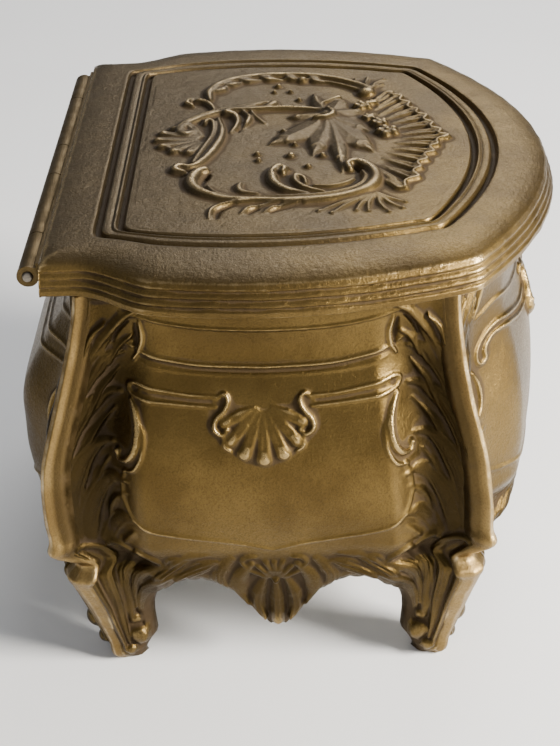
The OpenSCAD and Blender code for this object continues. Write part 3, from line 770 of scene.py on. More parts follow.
def lid_section():
    """Rows of the lid's outside from the panel to the rim: [q, height]."""
    frame = [[1.60, 0.05], [1.53, 0.05], [1.485, 0.04], [1.465, -0.18], [1.45, -0.52], [1.42, -0.68],
             [1.385, -0.68], [1.36, -0.50], [1.345, -0.12], [1.325, 0.10], [1.30, 0.13], [1.275, 0.04],
             [1.255, -0.05], [1.235, 0.02], [1.21, 0.06], [1.13, 0.06], [1.11, 0.0], [1.095, -0.28],
             [1.075, -0.62], [1.045, -0.74], [1.01, -0.74], [0.985, -0.56], [0.965, -0.20], [0.945, 0.0],
             [0.90, 0.05], [0.80, 0.04], [0.70, 0.03], [0.58, 0.0], [0.44, -0.10], [0.30, -0.28],
             [0.18, -0.52], [0.09, -0.78], [0.03, -1.02]]
    fine = []
    for a, b in zip(np.array(frame[:-1]), np.array(frame[1:])):
        fine += [tuple(mix(a, b, k / SECTION_STEPS)) for k in range(SECTION_STEPS)]
    return fine + reeds() + [(-REED_OUT, -RIM_H + 0.12), (-REED_OUT + 0.02, -RIM_H)]


LID_DEPTH = 0.72


def left_wreath(r):
    """The left of the wreath: a double scroll with fronds at its head."""
    swell = r.stroke
    swell([(-18.6, 9.4), (-20.6, 6.2), (-21.2, 1), (-21.6, -4), (-21.0, -9), (-18.8, -12.8), (-15.2, -14.6),
           (-11.6, -14.2), (-9.3, -12.5), (-9.8, -11.0), (-11.4, -11.2)],
          [0.5, 0.7, 0.8, 0.9, 1.0, 1.1, 1.1, 1.0, 0.9, 0.8, 0.6],
          [0.8, 1.0, 1.0, 1.1, 1.3, 1.4, 1.4, 1.4, 1.4, 1.3, 1.2])
    swell([(-19.8, 2), (-20.2, -4), (-19.6, -8.6), (-17.6, -12.0), (-14.6, -13.2), (-12.0, -12.8)],
          [0.35, 0.5, 0.55, 0.55, 0.5, 0.35], [0.6, 0.9, 1.0, 1.1, 1.1, 1.0])
    swell([(-19.4, -5.2), (-18.0, -2.2), (-15.2, -0.5), (-12.4, -0.4), (-10.7, -1.1), (-11.3, -2.0),
           (-12.6, -1.8)], [0.5, 0.8, 0.9, 0.9, 0.8, 0.7, 0.5], [0.8, 1.1, 1.2, 1.3, 1.4, 1.4, 1.3])
    swell([(-18.6, -7.4), (-17.4, -4.9), (-15.4, -3.6), (-13.3, -3.6), (-14.2, -4.7), (-15.8, -5.0)],
          [0.35, 0.55, 0.6, 0.5, 0.5, 0.3], [0.6, 0.9, 1.0, 1.0, 0.9, 0.6])
    swell([(-16.6, -6.0), (-16.9, -8.4), (-16.0, -10.4), (-14.6, -11.6)], [0.3, 0.5, 0.5, 0.3], 0.7)
    for frond in ([(-26.2, 8.0), (-23.8, 7.7), (-22.1, 5.6), (-21.4, 1.6)],
                  [(-25.0, 3.8), (-23.4, 2.6), (-22.3, -0.6), (-21.8, -4.2)],
                  [(-24.6, 0.8), (-23.4, -0.6), (-22.5, -3.4), (-21.9, -6.6)]):
        swell(frond, [0.15, 0.34, 0.42, 0.45], [0.45, 0.75, 0.85, 0.9])
        swell([(x + 0.1, y - 1.0) for x, y in frond[:3]], [0.25, 0.7, 0.25], -0.65, "soft")
    swell([(-20.6, 3.0), (-19.9, 7.0), (-17.6, 9.9), (-14.8, 10.9), (-12.0, 10.4), (-10.7, 9.2),
           (-11.6, 8.5)], [0.6, 0.8, 1.0, 1.0, 0.9, 0.7, 0.4], [0.8, 1.0, 1.2, 1.3, 1.2, 1.1, 0.8])
    swell([(-18.8, 1.6), (-18.2, 3.6), (-16.6, 4.3), (-15.2, 3.9)], [0.35, 0.6, 0.6, 0.25], 0.75, "leaf")
    swell([(-19.4, 5.4), (-18.2, 7.4), (-15.9, 8.6)], [0.3, 0.45, 0.25], 0.6)


def back_scrolls(r):
    """At the back, a long double scroll under a small shell."""
    swell = r.stroke
    swell([(-11.6, 12.0), (-10.9, 13.3), (-9.6, 12.9), (-9.8, 11.2), (-7.6, 9.6), (-4, 8.3), (0, 7.4),
           (4, 7.2), (8.4, 7.9)], [0.6, 0.8, 0.8, 0.7, 0.7, 0.75, 0.75, 0.7, 0.5],
          [1.0, 1.3, 1.3, 1.1, 1.1, 1.1, 1.1, 1.0, 0.8])
    swell([(-8.0, 11.0), (-4, 9.9), (0, 8.9), (3.4, 8.4), (6.6, 8.6), (7.4, 9.4), (6.4, 9.8)],
          [0.4, 0.55, 0.55, 0.55, 0.6, 0.55, 0.4], [0.7, 0.9, 0.9, 0.9, 1.1, 1.2, 1.0])
    shell(r, (0.6, 9.2), spread=62, ribs=7, near=1.4, far=(7.2, 5.6), fat=0.95, height=0.95, aim=92)
    swell([(-4.4, 12.6), (-3.2, 14.4), (-1.4, 15.4)], [0.3, 0.5, 0.3], 0.7)


def stem(r):
    """The stem, its curls, and the long leaf that hangs from the back to the flower."""
    swell = r.stroke
    swell([(3.4, 11.4), (2.2, 12.4), (3.4, 13.4), (6.0, 12.9), (8.4, 11.0), (10.6, 8.4), (12.2, 5.0),
           (13.6, 2.2), (15.6, 0.2)], [0.6, 0.8, 0.8, 0.9, 1.0, 1.0, 0.95, 0.9, 0.25],
          [1.0, 1.3, 1.3, 1.3, 1.3, 1.2, 1.2, 1.1, 0.6], "leaf")
    swell([(11.4, 7.4), (11.6, 3), (12.0, -1), (11.6, -4.6), (10.8, -7.6)], [0.6, 0.65, 0.6, 0.6, 0.7], 1.1)
    swell([(12.4, 3.2), (13.0, 0.6), (14.6, -0.5), (15.4, -0.3)], [0.5, 0.9, 0.7, 0.3], [0.8, 1.1, 0.9, 0.5],
          "leaf")
    swell([(10.2, 6.6), (9.4, 5.4), (7.2, 4.9), (4.8, 5.2), (3.1, 5.9)], [0.9, 0.8, 0.6, 0.55, 0.3],
          [1.4, 1.1, 0.9, 0.8, 0.5])
    swell([(11.0, 4.2), (8.6, 3.2), (6.2, 3.7), (4.4, 4.6)], [0.4, 0.6, 0.6, 0.3], [0.8, 1.0, 0.9, 0.5])
    swell([(11.2, 3.0), (9.0, 2.2), (6.6, 0.8)], [0.35, 0.4, 0.2], [0.8, 0.7, 0.4])
    swell([(12.0, 8.6), (13.8, 9.2), (15.4, 10.4), (15.9, 12.2), (14.6, 12.9), (13.8, 12.0)],
          [0.4, 0.6, 0.7, 0.7, 0.6, 0.4], [0.8, 1.0, 1.1, 1.2, 1.2, 1.0])


def right_wreath(r):
    """The right of the wreath: an acanthus scroll with lobes on its inner side."""
    swell = r.stroke
    arm = [(16.4, 9.4), (19.4, 9.6), (22.4, 8.2), (24.8, 5.4), (26.0, 1.8), (26.2, -2.4), (25.6, -6.4),
           (24.0, -10.2), (21.4, -13.4), (18.6, -15.4)]
    swell(arm, [0.5, 0.9, 1.0, 1.0, 0.95, 0.9, 0.85, 0.85, 0.9, 1.0],
          [0.8, 1.1, 1.2, 1.2, 1.2, 1.2, 1.2, 1.2, 1.3, 1.5])
    swell([(x - 1.5, y + 0.3) for x, y in arm[5:]], [0.3, 0.4, 0.45, 0.4, 0.3], 0.8)
    for k in range(6):
        at, d = along(arm, 0.12 + 0.11 * k)
        side = turned(d, -70)
        swell([at, at + side * 1.7 + d * 0.5, at + side * 2.2 + d * 2.2], [0.8, 0.95, 0.3], [1.1, 1.1, 0.6],
              "leaf")
    r.bead((17.6, -14.9), 1.5, 1.7)
    r.bead((23.8, -5.0), 0.9, 1.3)


def toothed_leaf(r):
    """Toothed lobes round a knob, longest towards the left, each with a raised vein."""
    swell = r.stroke
    heart = np.array([8.6, -8.6])
    lobes = (((-12.2, -10.2), 1.0, 1.6, 0.4), ((-5.0, -14.9), 1.9, 2.3, -0.8), ((-6.0, -6.1), 1.7, 2.1, 0.7),
             ((-1.7, 0.2), 1.9, 2.4, 1.6), ((3.2, -4.4), 1.4, 1.6, 0.6), ((2.8, -14.6), 1.5, 1.7, -0.8),
             ((15.8, -10.8), 1.3, 1.6, -0.6), ((18.2, -6.7), 0.8, 1.0, 0.5), ((10.0, -14.2), 1.3, 1.5, 0.5),
             ((8.6, -2.6), 1.1, 1.3, 0.4))
    r.bead(heart + [-2.0, -0.6], 5.6, 0.55)
    for tip, fat, tooth, bend in lobes:
        tip = np.array(tip)
        d = (tip - heart) / np.hypot(*(tip - heart))
        side = np.array([-d[1], d[0]])
        rib = [heart, mix(heart, tip, 0.35) + side * 0.7 * bend, mix(heart, tip, 0.7) + side * 0.6 * bend,
               tip]
        swell(rib, [1.0, 1.2 * fat, 1.5 * fat, 1.3 * fat, 0.7 * fat, 0.1], [1.15, 1.1, 1.05, 1.0, 0.8, 0.5],
              "roof")
        for s in (0.32, 0.54, 0.72):
            at, along_rib = along(rib, s)
            for turn in (1, -1):
                out = turned(along_rib, turn * 40)
                point = at + out * tooth * (1.35 - 0.7 * s)
                swell([at, mix(at, point, 0.55) - along_rib * 0.2, point],
                      [fat * 0.8, fat * (0.8 - 0.4 * s), 0.08], [1.0, 0.95, 0.4], "roof")
        swell(rib, [0.30, 0.26, 0.22, 0.1], [1.4, 1.25, 1.1, 0.6], "soft")
    r.bead(heart, 1.5, 1.5)
    swell([(6.7, -6.5), (6.7, -8.2), (8.2, -9.4), (10.4, -8.6)], [0.4, 0.8, 0.8, 0.5], 1.9)
    swell([(10.8, -8.0), (13.0, -7.9), (14.6, -9.2), (15.8, -10.6)], [0.35, 0.4, 0.4, 0.5], 1.2)
    for at, size in (((-12.0, -1.6), 0.85), ((-6.1, -3.0), 0.75), ((-7.5, 1.6), 0.5), ((-5.3, 1.8), 0.55),
                     ((-10.0, -5.4), 0.55), ((-6.2, -7.5), 0.65), ((-11.2, -2.6), 0.4), ((-2.0, -3.6), 0.5),
                     ((3.0, -1.9), 0.5), ((15.6, -4.4), 0.5), ((19.2, -3.1), 0.45), ((19.2, -0.6), 0.4),
                     ((21.6, -1.2), 0.6)):
        r.bead(at, size, 1.0)


def front_edge(r):
    """At the front, small blossoms over a scalloped shell edge."""
    swell = r.stroke
    for at, size in (((2.1, -17.2), 1.9), ((5.3, -16.2), 1.5), ((7.3, -14.7), 1.2), ((12.2, -14.0), 1.6),
                     ((13.4, -15.6), 1.0)):
        for k in range(5):
            a = math.radians(72 * k + 20)
            r.bead((at[0] + 0.6 * size * math.cos(a), at[1] + 0.6 * size * math.sin(a)), 0.45 * size, 1.3)
        r.bead(at, 0.3 * size, 1.55)
    fan = [(-17.6, -17.8), (-14.6, -19.7), (-11.2, -20.3), (-8.4, -21.4), (-5.8, -22.6), (-3.0, -23.4),
           (-0.6, -25.2), (1.8, -24.2), (4.6, -23.2), (7.4, -22.6), (10.0, -21.4), (12.8, -20.4),
           (15.4, -19.4), (17.6, -18.3)]
    fan = np.array(fan)
    root = np.array([1.0, -7.0])
    for tip in fan:
        start = mix(root, tip, 0.70)
        swell([start, mix(start, tip, 0.6), tip], [0.35, 0.95, 1.0], [0.3, 0.9, 1.25], "cup")
        swell([mix(start, tip, 0.3), mix(start, tip, 0.9)], [0.12, 0.3], [-0.2, -0.55], "soft")
    rim = []
    for a, b in zip(fan[:-1], fan[1:]):
        out = turned((b - a) / np.hypot(*(b - a)), -90)
        rim += [a + out * 0.9, mix(a, b, 0.5) - out * 0.1]
    swell(rim, 0.42, 1.05)
    swell([(-11.8, -15.4), (-15.2, -17.0), (-17.8, -17.4)], [0.4, 0.9, 0.4], 0.9, "leaf")


def corner_sprays(r):
    """Sprays at the front corners."""
    swell = r.stroke
    for root_at, tips in (((-19.6, -14.6),
                           ((-25.2, -15.9), (-24.2, -17.8), (-22.2, -18.3), (-24.8, -13.2), (-24.6, -11.6),
                            (-25.2, -8.3), (-24.6, -6.6))),
                          ((19.4, -15.6), ((24.4, -13.4), (24.8, -15.4), (24.2, -17.9), (21.8, -17.6)))):
        for tip in tips:
            bend = mix(np.array(root_at), np.array(tip), 0.55) + [0, 0.5]
            swell([root_at, bend, tip], [0.4, 0.42, 0.2], [0.7, 0.6, 0.35])
            r.bead(tip, 0.34, 0.6)


def hollows(r):
    """Cupped hollows under the curled leaves."""
    swell = r.stroke
    for pts, wide in (([(-15.2, 9.4), (-13.0, 9.0), (-11.2, 8.4)], 0.75), ([(-13.2, 9.0), (-11.4, 8.6)], 0.5),
                      ([(3.6, 4.9), (5.2, 4.3), (7.0, 4.0)], 0.6),
                      ([(12.8, 2.2), (13.4, 1.0), (14.4, 0.5)], 0.5),
                      ([(15.0, 12.2), (15.8, 12.0), (16.2, 11.2)], 0.5),
                      ([(-12.6, -12.6), (-11.0, -12.3), (-10.2, -11.8)], 0.5),
                      ([(-13.2, -1.0), (-12.2, -0.8)], 0.4)):
        swell(pts, [0.3 * wide, wide, 0.5 * wide], -0.7, "soft")


def lid_relief():
    """The panel's ornament: leaf and flower in a wreath of scrolls, fronds and a shell edge."""
    r = Relief((-31, -31), (31, 22), LID_CELL)
    for draw in (left_wreath, back_scrolls, stem, right_wreath, toothed_leaf, front_edge, corner_sprays,
                 hollows):
        draw(r)
    r.h = LID_DEPTH * blurred(r.h, 1.7)
    return r


HALF_X, SIDE_N, RING_STEP = 140, 240, 4


def border_sides(count):
    """Point numbers along the back, front, right and left of the panel's border."""
    right, left = HALF_X + SIDE_N, HALF_X + SIDE_N + 2 * HALF_X
    back = np.arange(count - HALF_X, count + HALF_X + 1) % count
    front = np.arange(left, right - 1, -1)
    return back, front, np.arange(right, HALF_X - 1, -1), np.arange(left, left + SIDE_N + 1)


def lid_patch(border, height, sides):
    """The panel with its relief: a grid stretched between the four sides of its border."""
    relief = lid_relief()
    back, front, side_r, side_l = sides
    u = np.linspace(0, 1, len(back))[:, None, None]
    v = np.linspace(0, 1, len(side_r))[None, :, None]
    b, f, r, l = border[back][:, None], border[front][:, None], border[side_r][None], border[side_l][None]
    corners = ((1 - u) * (1 - v) * f[0, 0] + u * (1 - v) * f[-1, 0]
               + (1 - u) * v * b[0, 0] + u * v * b[-1, 0])
    xy = (1 - v) * f + v * b + (1 - u) * l + u * r - corners
    flat = np.concatenate([xy, np.zeros(xy.shape[:2] + (1,))], -1)
    fade = ease((1 - np.abs(2 * u[..., 0] - 1)) * 14) * ease((1 - np.abs(2 * v[..., 0] - 1)) * 14)
    h = relief.sample(xy[..., 0], xy[..., 1]) * fade + 0.05 * waves(flat, 8.0, 31)
    return np.concatenate([xy, (LID_TOP + height + h)[..., None]], -1)


def lid_rows(section, count):
    """The frame and the reeded rim: a grid of rings, and how worn each point is."""
    rows = [np.concatenate([lid_ring(q), np.full((count, 1), LID_TOP + z)], -1) for q, z in section]
    rows = np.stack(rows, 1)
    # The border behind the panel lies nearly flat.
    upper = np.array([q < 0.9 and z > -1.12 for q, z in section])
    flat_back = 0.7 * ease((rows[..., 1] - 21) / 4) * ease((36.5 - np.abs(rows[..., 0])) / 4)
    rows[..., 2] -= np.where(upper, flat_back * (rows[..., 2] - LID_TOP), 0)
    out = normals(rows, wrap=True)
    out *= np.where(np.einsum("ijk,ijk->", out, rows - [0, 0, LID_LOW - 8]) < 0, -1, 1)
    # Shallow dents all over, deeper in the rim, which also waves a little in height.
    rim = ease((LID_TOP - 1.1 - rows[..., 2]) / 0.5)
    rows = rows + out * ((0.035 + 0.045 * rim) * waves(rows, 5.0, 32) - 0.02 - 0.045 * rim)[..., None]
    rows[..., 2] += 0.15 * rim * ease((rows[..., 2] - LID_LOW) / 1.0) * waves(rows * [1, 1, 0], 16.0, 33)
    rows[..., 1] = np.minimum(rows[..., 1], LID_BACK)
    rows[..., 2] = np.maximum(rows[..., 2], LID_LOW)
    return rows, wear(rows, out, wrap=True)


def lid_inside(count):
    """The coarse inside: the lip round the lining, and rings that shrink to the middle of the panel."""
    inner = []
    for q, z in ((FLANGE_Q, LID_LOW), (FLANGE_Q, LID_TOP - PANEL_T)):
        inner.append(np.concatenate([lid_ring(q)[::RING_STEP], np.full((count // RING_STEP, 1), z)], -1))
    for scale in (0.66, 0.33):
        inner.append(inner[1] * [scale, scale, 1])
    return np.stack(inner, 1)


def lid_casting():
    """The lid: a fine patch for the panel, rings from its frame to the reeded rim, and a coarse inside."""
    section = lid_section()
    border = lid_ring(section[0][0])
    count = len(border)
    back, front, side_r, side_l = border_sides(count)
    patch = lid_patch(border, section[0][1], (back, front, side_r, side_l))
    n, m = patch.shape[:2]
    value_patch = wear(patch, normals(patch) * np.sign(normals(patch)[..., 2:]))
    rows, value_rows = lid_rows(section[1:], count)

    # The rings join the patch along the border's own points.
    place = np.zeros(count, int)
    place[back] = np.arange(n) * m + (m - 1)
    place[front] = np.arange(n) * m
    place[side_r] = (n - 1) * m + np.arange(m)
    place[side_l] = np.arange(m)
    k = rows.shape[1]
    first = n * m
    at = lambda i, j: int(place[i % count]) if j < 0 else first + (i % count) * k + j
    faces = [tuple(q) for q in grid_faces(n, m)]
    faces += [(at(i, -1), at(i + 1, -1), at(i + 1, 0), at(i, 0)) for i in range(count)]
    faces += [tuple(q) for q in grid_faces(count, k, wrap=True, first=first)]

    inner = lid_inside(count)
    coarse = count // RING_STEP
    base = first + count * k
    faces += [tuple(q) for q in grid_faces(coarse, inner.shape[1], wrap=True, first=base)]
    faces += stitched([at(i, k - 1) for i in range(count + 1)],
                      [base + (i % coarse) * inner.shape[1] for i in range(coarse + 1)], RING_STEP)
    middle = base + coarse * inner.shape[1]
    last = inner.shape[1] - 1
    faces += [(base + i * inner.shape[1] + last, base + ((i + 1) % coarse) * inner.shape[1] + last, middle)
              for i in range(coarse)]
    verts = np.concatenate([patch.reshape(-1, 3), rows.reshape(-1, 3), inner.reshape(-1, 3),
                            [[0, 0, LID_TOP - PANEL_T]]])
    values = np.concatenate([value_patch.ravel(), value_rows.ravel(), np.full(len(verts) - base, 0.4)])
    return outward(new_mesh("lid_shell", verts + [0, SHIFT_Y, 0], faces, {"convex": values}))


# ---------------------------------------------------------------- lining, pads and cords
FLOOR_Z, PLATE_T, CARD_T, PAD_T, CORD_R, LID_CORD_R = 20.1, 0.8, 0.9, 3.6, 0.8, 0.7
TINY, FLANGE_Q = 0.02, 0.76
MOUTH_Z = BODY_TOP - 1.3
LINING_LOW = FLOOR_Z + PLATE_T + TINY
LINING_HIGH = MOUTH_Z - CORD_R - TINY
LINING_IN = WALL + 2
LID_CORD_Z = LID_TOP - PANEL_T - CARD_T - 3 * TINY - LID_CORD_R
# Where each wall's card begins and ends, from -1 to 1 between its ridges: past those, to meet its neighbours.
FRONT_CARD, BACK_CARD, SIDE_CARD = (-1.052, 1.052), (-1.045, 1.045), (-1.01, 1.046)


def lining(name, point, span, seed, mirror=False):
    """A silk-covered card on one inner wall: padded, with soft vertical gathers."""
    t = np.linspace(*span, 161)[:, None]
    v = np.linspace(0, 1, 81)[None, :]
    z = mix(LINING_LOW, LINING_HIGH, v) + 0 * t
    edge = np.minimum(np.minimum(t - span[0], span[1] - t) * 24, np.minimum(v, 1 - v) * 38)
    swell = 1 - np.exp(-np.maximum(edge, 0) / 0.9)
    base = point(t, MOUTH_Z + 0 * z, LINING_IN + CARD_T)
    base[..., 2] = z
    gather = 0.5 + 0.5 * np.sin(t * 58 + 0.5 * np.sin(v * 7 + seed) + 1.2 * waves(base, 25.0, seed))
    puff = 0.15 + 0.22 * swell + 0.13 * gather * (0.35 + 0.65 * ease((np.abs(v - 0.5) - 0.2) / 0.3))
    face = point(t, MOUTH_Z + 0 * z, LINING_IN + CARD_T - 0.35 + puff)
    face[..., 2] = z
    rear = point(t[::COARSE], MOUTH_Z + 0 * z[::COARSE, ::COARSE], LINING_IN)
    rear[..., 2] = z[::COARSE, ::COARSE]
    if mirror:
        face, rear = face * [-1, 1, 1], rear * [-1, 1, 1]
    return solid_from_grids(name, face, rear, COARSE, 0.4 + 0.3 * gather * np.ones_like(z))


def body_ring(z, inset, steps=24):
    """The outline inside the walls at one height, anticlockwise from the front left corner."""
    t = np.linspace(-1, 1, 2 * steps + 1)
    mirror = np.array([-1, 1])
    z = np.full_like(t, z)
    sides = [front_pt(t, z, inset)[:, :2], left_pt(t, z, inset)[:, :2] * mirror,
             back_pt(t, z, inset)[:, :2], left_pt(-t, z, inset)[:, :2]]
    return np.concatenate([s[:-1] for s in sides])


def resampled(ring, count):
    """The same closed outline with evenly spaced points."""
    p = np.vstack([ring, ring[:1]])
    s = np.concatenate([[0], np.cumsum(np.hypot(*np.diff(p, axis=0).T))])
    at = np.linspace(0, s[-1], count, endpoint=False)
    return np.stack([np.interp(at, s, p[:, 0]), np.interp(at, s, p[:, 1])], -1)


def twisted_cord(name, ring, z, radius, pitch):
    """Three strands twisted together along a closed outline."""
    path = resampled(rounded_ring(resampled(ring, 400), 10), 400)
    length = np.hypot(*np.diff(np.vstack([path, path[:1]]), axis=0).T).sum()
    turns = round(length / pitch)
    count = turns * 14
    path = resampled(path, count)
    d = np.roll(path, -1, 0) - np.roll(path, 1, 0)
    d /= np.hypot(d[:, 0], d[:, 1])[:, None]
    side = np.stack([d[:, 1], -d[:, 0], 0 * d[:, 0]], -1)
    up = np.array([0, 0, 1.0])
    fat = radius * 0.5
    verts, faces = [], []
    sides = 9
    for strand in range(3):
        a = 2 * np.pi * (np.arange(count) / count * turns + strand / 3)
        centre = np.concatenate([path, np.full((count, 1), z)], -1)
        centre = centre + (radius - fat) * (np.cos(a)[:, None] * side + np.sin(a)[:, None] * up)
        first = len(verts) * count * sides
        b = 2 * np.pi * np.arange(sides) / sides
        spoke = np.cos(b)[None, :, None] * side[:, None] + np.sin(b)[None, :, None] * up
        tube = centre[:, None] + fat * 0.97 * spoke
        verts.append(tube.reshape(-1, 3))
        i = np.arange(count)[:, None]
        j = np.arange(sides)[None, :]
        k, l = (i + 1) % count, (j + 1) % sides
        faces.append(np.stack([first + i * sides + j, first + k * sides + j, first + k * sides + l,
                               first + i * sides + l], -1).reshape(-1, 4))
    return outward(new_mesh(name, np.concatenate(verts) + [0, SHIFT_Y, 0], np.concatenate(faces)))


def capped(p, first, last):
    """Points and faces of a closed tube: p[i, j] is point i of ring j, and a point closes each end."""
    n, m = p.shape[:2]
    faces = [tuple(f) for f in grid_faces(n, m, wrap=True)]
    for i in range(n):
        k = (i + 1) % n
        faces += [(i * m + m - 1, k * m + m - 1, n * m), (k * m, i * m, n * m + 1)]
    return np.concatenate([p.reshape(-1, 3), [last, first]]), faces


def slab(name, ring, low, high, soft=0.25, convex=0.5):
    """A flat piece cut to an outline, with rounded edges."""
    centre = ring.mean(0)
    scale = lambda d: centre + (ring - centre) * (1 - d / np.hypot(*(ring - centre).T)[:, None])
    rows = [(soft, low), (0.3 * soft, low + 0.15 * soft), (0, low + soft), (0, high - soft),
            (0.3 * soft, high - 0.15 * soft), (soft, high)]
    p = np.stack([np.concatenate([scale(d), np.full((len(ring), 1), z)], -1) for d, z in rows], 1)
    verts, faces = capped(p, [*centre, low], [*centre, high])
    return outward(new_mesh(name, verts + [0, SHIFT_Y, 0], faces, {"convex": np.full(len(verts), convex)}))


SIM_SCALE, SIM_VOXEL, SIM_FRAMES, SIM_PRESSURE, PAD_SHRINK = 10.0, 0.0075, 20, 4, 0.975


def simulated(obj, cap):
    """Inflates a pad with Cloth, at ten times its size so that the solver's distances suit it."""
    scene = bpy.context.scene
    obj.data.transform(Matrix.Scale(SIM_SCALE, 4))
    remesh = obj.modifiers.new("voxels", "REMESH")
    remesh.mode = "VOXEL"
    remesh.voxel_size = SIM_VOXEL
    bpy.context.view_layer.objects.active = obj
    bpy.ops.object.modifier_apply(modifier=remesh.name)
    rest = np.array([v.co for v in obj.data.vertices])
    cloth = obj.modifiers.new("cloth", "CLOTH")
    cloth.settings.quality = 5
    cloth.settings.use_pressure = True
    cloth.settings.uniform_pressure_force = SIM_PRESSURE
    cloth.settings.effector_weights.gravity = 0
    cloth.point_cache.frame_end = SIM_FRAMES
    for step in range(1, SIM_FRAMES + 1):
        scene.frame_set(step)
    moved = obj.evaluated_get(bpy.context.evaluated_depsgraph_get())
    co = np.array([v.co for v in moved.data.vertices])
    obj.modifiers.remove(cloth)
    scene.frame_set(1)
    step = co - rest
    size = np.linalg.norm(step, axis=1, keepdims=True)
    co = rest + step * np.minimum(1, cap * SIM_SCALE * MM / np.maximum(size, 1e-9))
    obj.data.vertices.foreach_set("co", co.ravel() / SIM_SCALE)
    obj.data.update()
    return obj


def pad(name, ring, low, high, cap, seed):
    """A stuffed silk pad: blown up by simulation, with a seam round its middle and soft puckers."""
    start = rounded_ring(resampled(ring, 240), 6)
    centre = start.mean(0)
    start = centre + (start - centre) * PAD_SHRINK
    obj = slab(name, start, low + 0.45, high - 0.75, soft=0.6)
    simulated(obj, cap)
    co = np.array([v.co for v in obj.data.vertices]) / MM - [0, SHIFT_Y, 0]
    outline = resampled(ring, 480)
    gap = np.array([np.hypot(*(outline - p[:2]).T).min() for p in co])
    middle = (low + high) / 2
    crown = 0.55 * ease(gap / 9.0) + 0.18 * waves(co * [1, 1, 0], 14.0, seed)
    pucker = np.sin(np.arctan2(co[:, 1] - centre[1], co[:, 0] - centre[0]) * 46) * np.exp(-gap / 2.6)
    side = np.sign(co[:, 2] - middle)
    co[:, 2] += np.where(side > 0, crown * 0.8 + 0.14 * pucker, 0)
    seam = np.exp(-(((co[:, 2] - middle) / 0.42) ** 2)) * np.exp(-gap / 0.9)
    pull = centre - co[:, :2]
    co[:, :2] += 0.35 * seam[:, None] * pull / np.linalg.norm(pull, axis=1, keepdims=True)
    co[:, 2] = np.clip(co[:, 2], low, high)
    obj.data.vertices.foreach_set("co", ((co + [0, SHIFT_Y, 0]) * MM).ravel())
    obj.data.update()
    attribute = obj.data.attributes.get("convex") or obj.data.attributes.new("convex", "FLOAT", "POINT")
    attribute.data.foreach_set("value", (0.5 + 0.2 * pucker).astype(np.float32))
    obj.data.polygons.foreach_set("use_smooth", np.ones(len(obj.data.polygons), bool))
    return obj


# ---------------------------------------------------------------- hinge
PIN_Y, PIN_Z = LID_BACK + 1.7, LID_LOW + 1.7
HINGE_HALF, PIN_R = 35.2, 0.7


def pin():
    """The hinge pin, with its two ends peened over."""
    end = HINGE_HALF + 0.3
    profile = [(-end, 0.0), (-end, 0.34), (-end + 0.06, 0.55), (-end + 0.16, 0.66), (-end + 0.3, PIN_R),
               (-end + 1.2, PIN_R * 0.985)]
    profile += [(-x, r) for x, r in profile[::-1]]
    sides = 40
    a = 2 * np.pi * np.arange(sides) / sides
    rows = [np.stack([np.full(sides, x), PIN_Y + r * np.cos(a), PIN_Z + r * np.sin(a)], -1)
            for x, r in profile[1:-1]]
    verts, faces = capped(np.stack(rows, 1), [-end, PIN_Y, PIN_Z], [end, PIN_Y, PIN_Z])
    return outward(new_mesh("hinge_rod", verts + [0, SHIFT_Y, 0], faces))


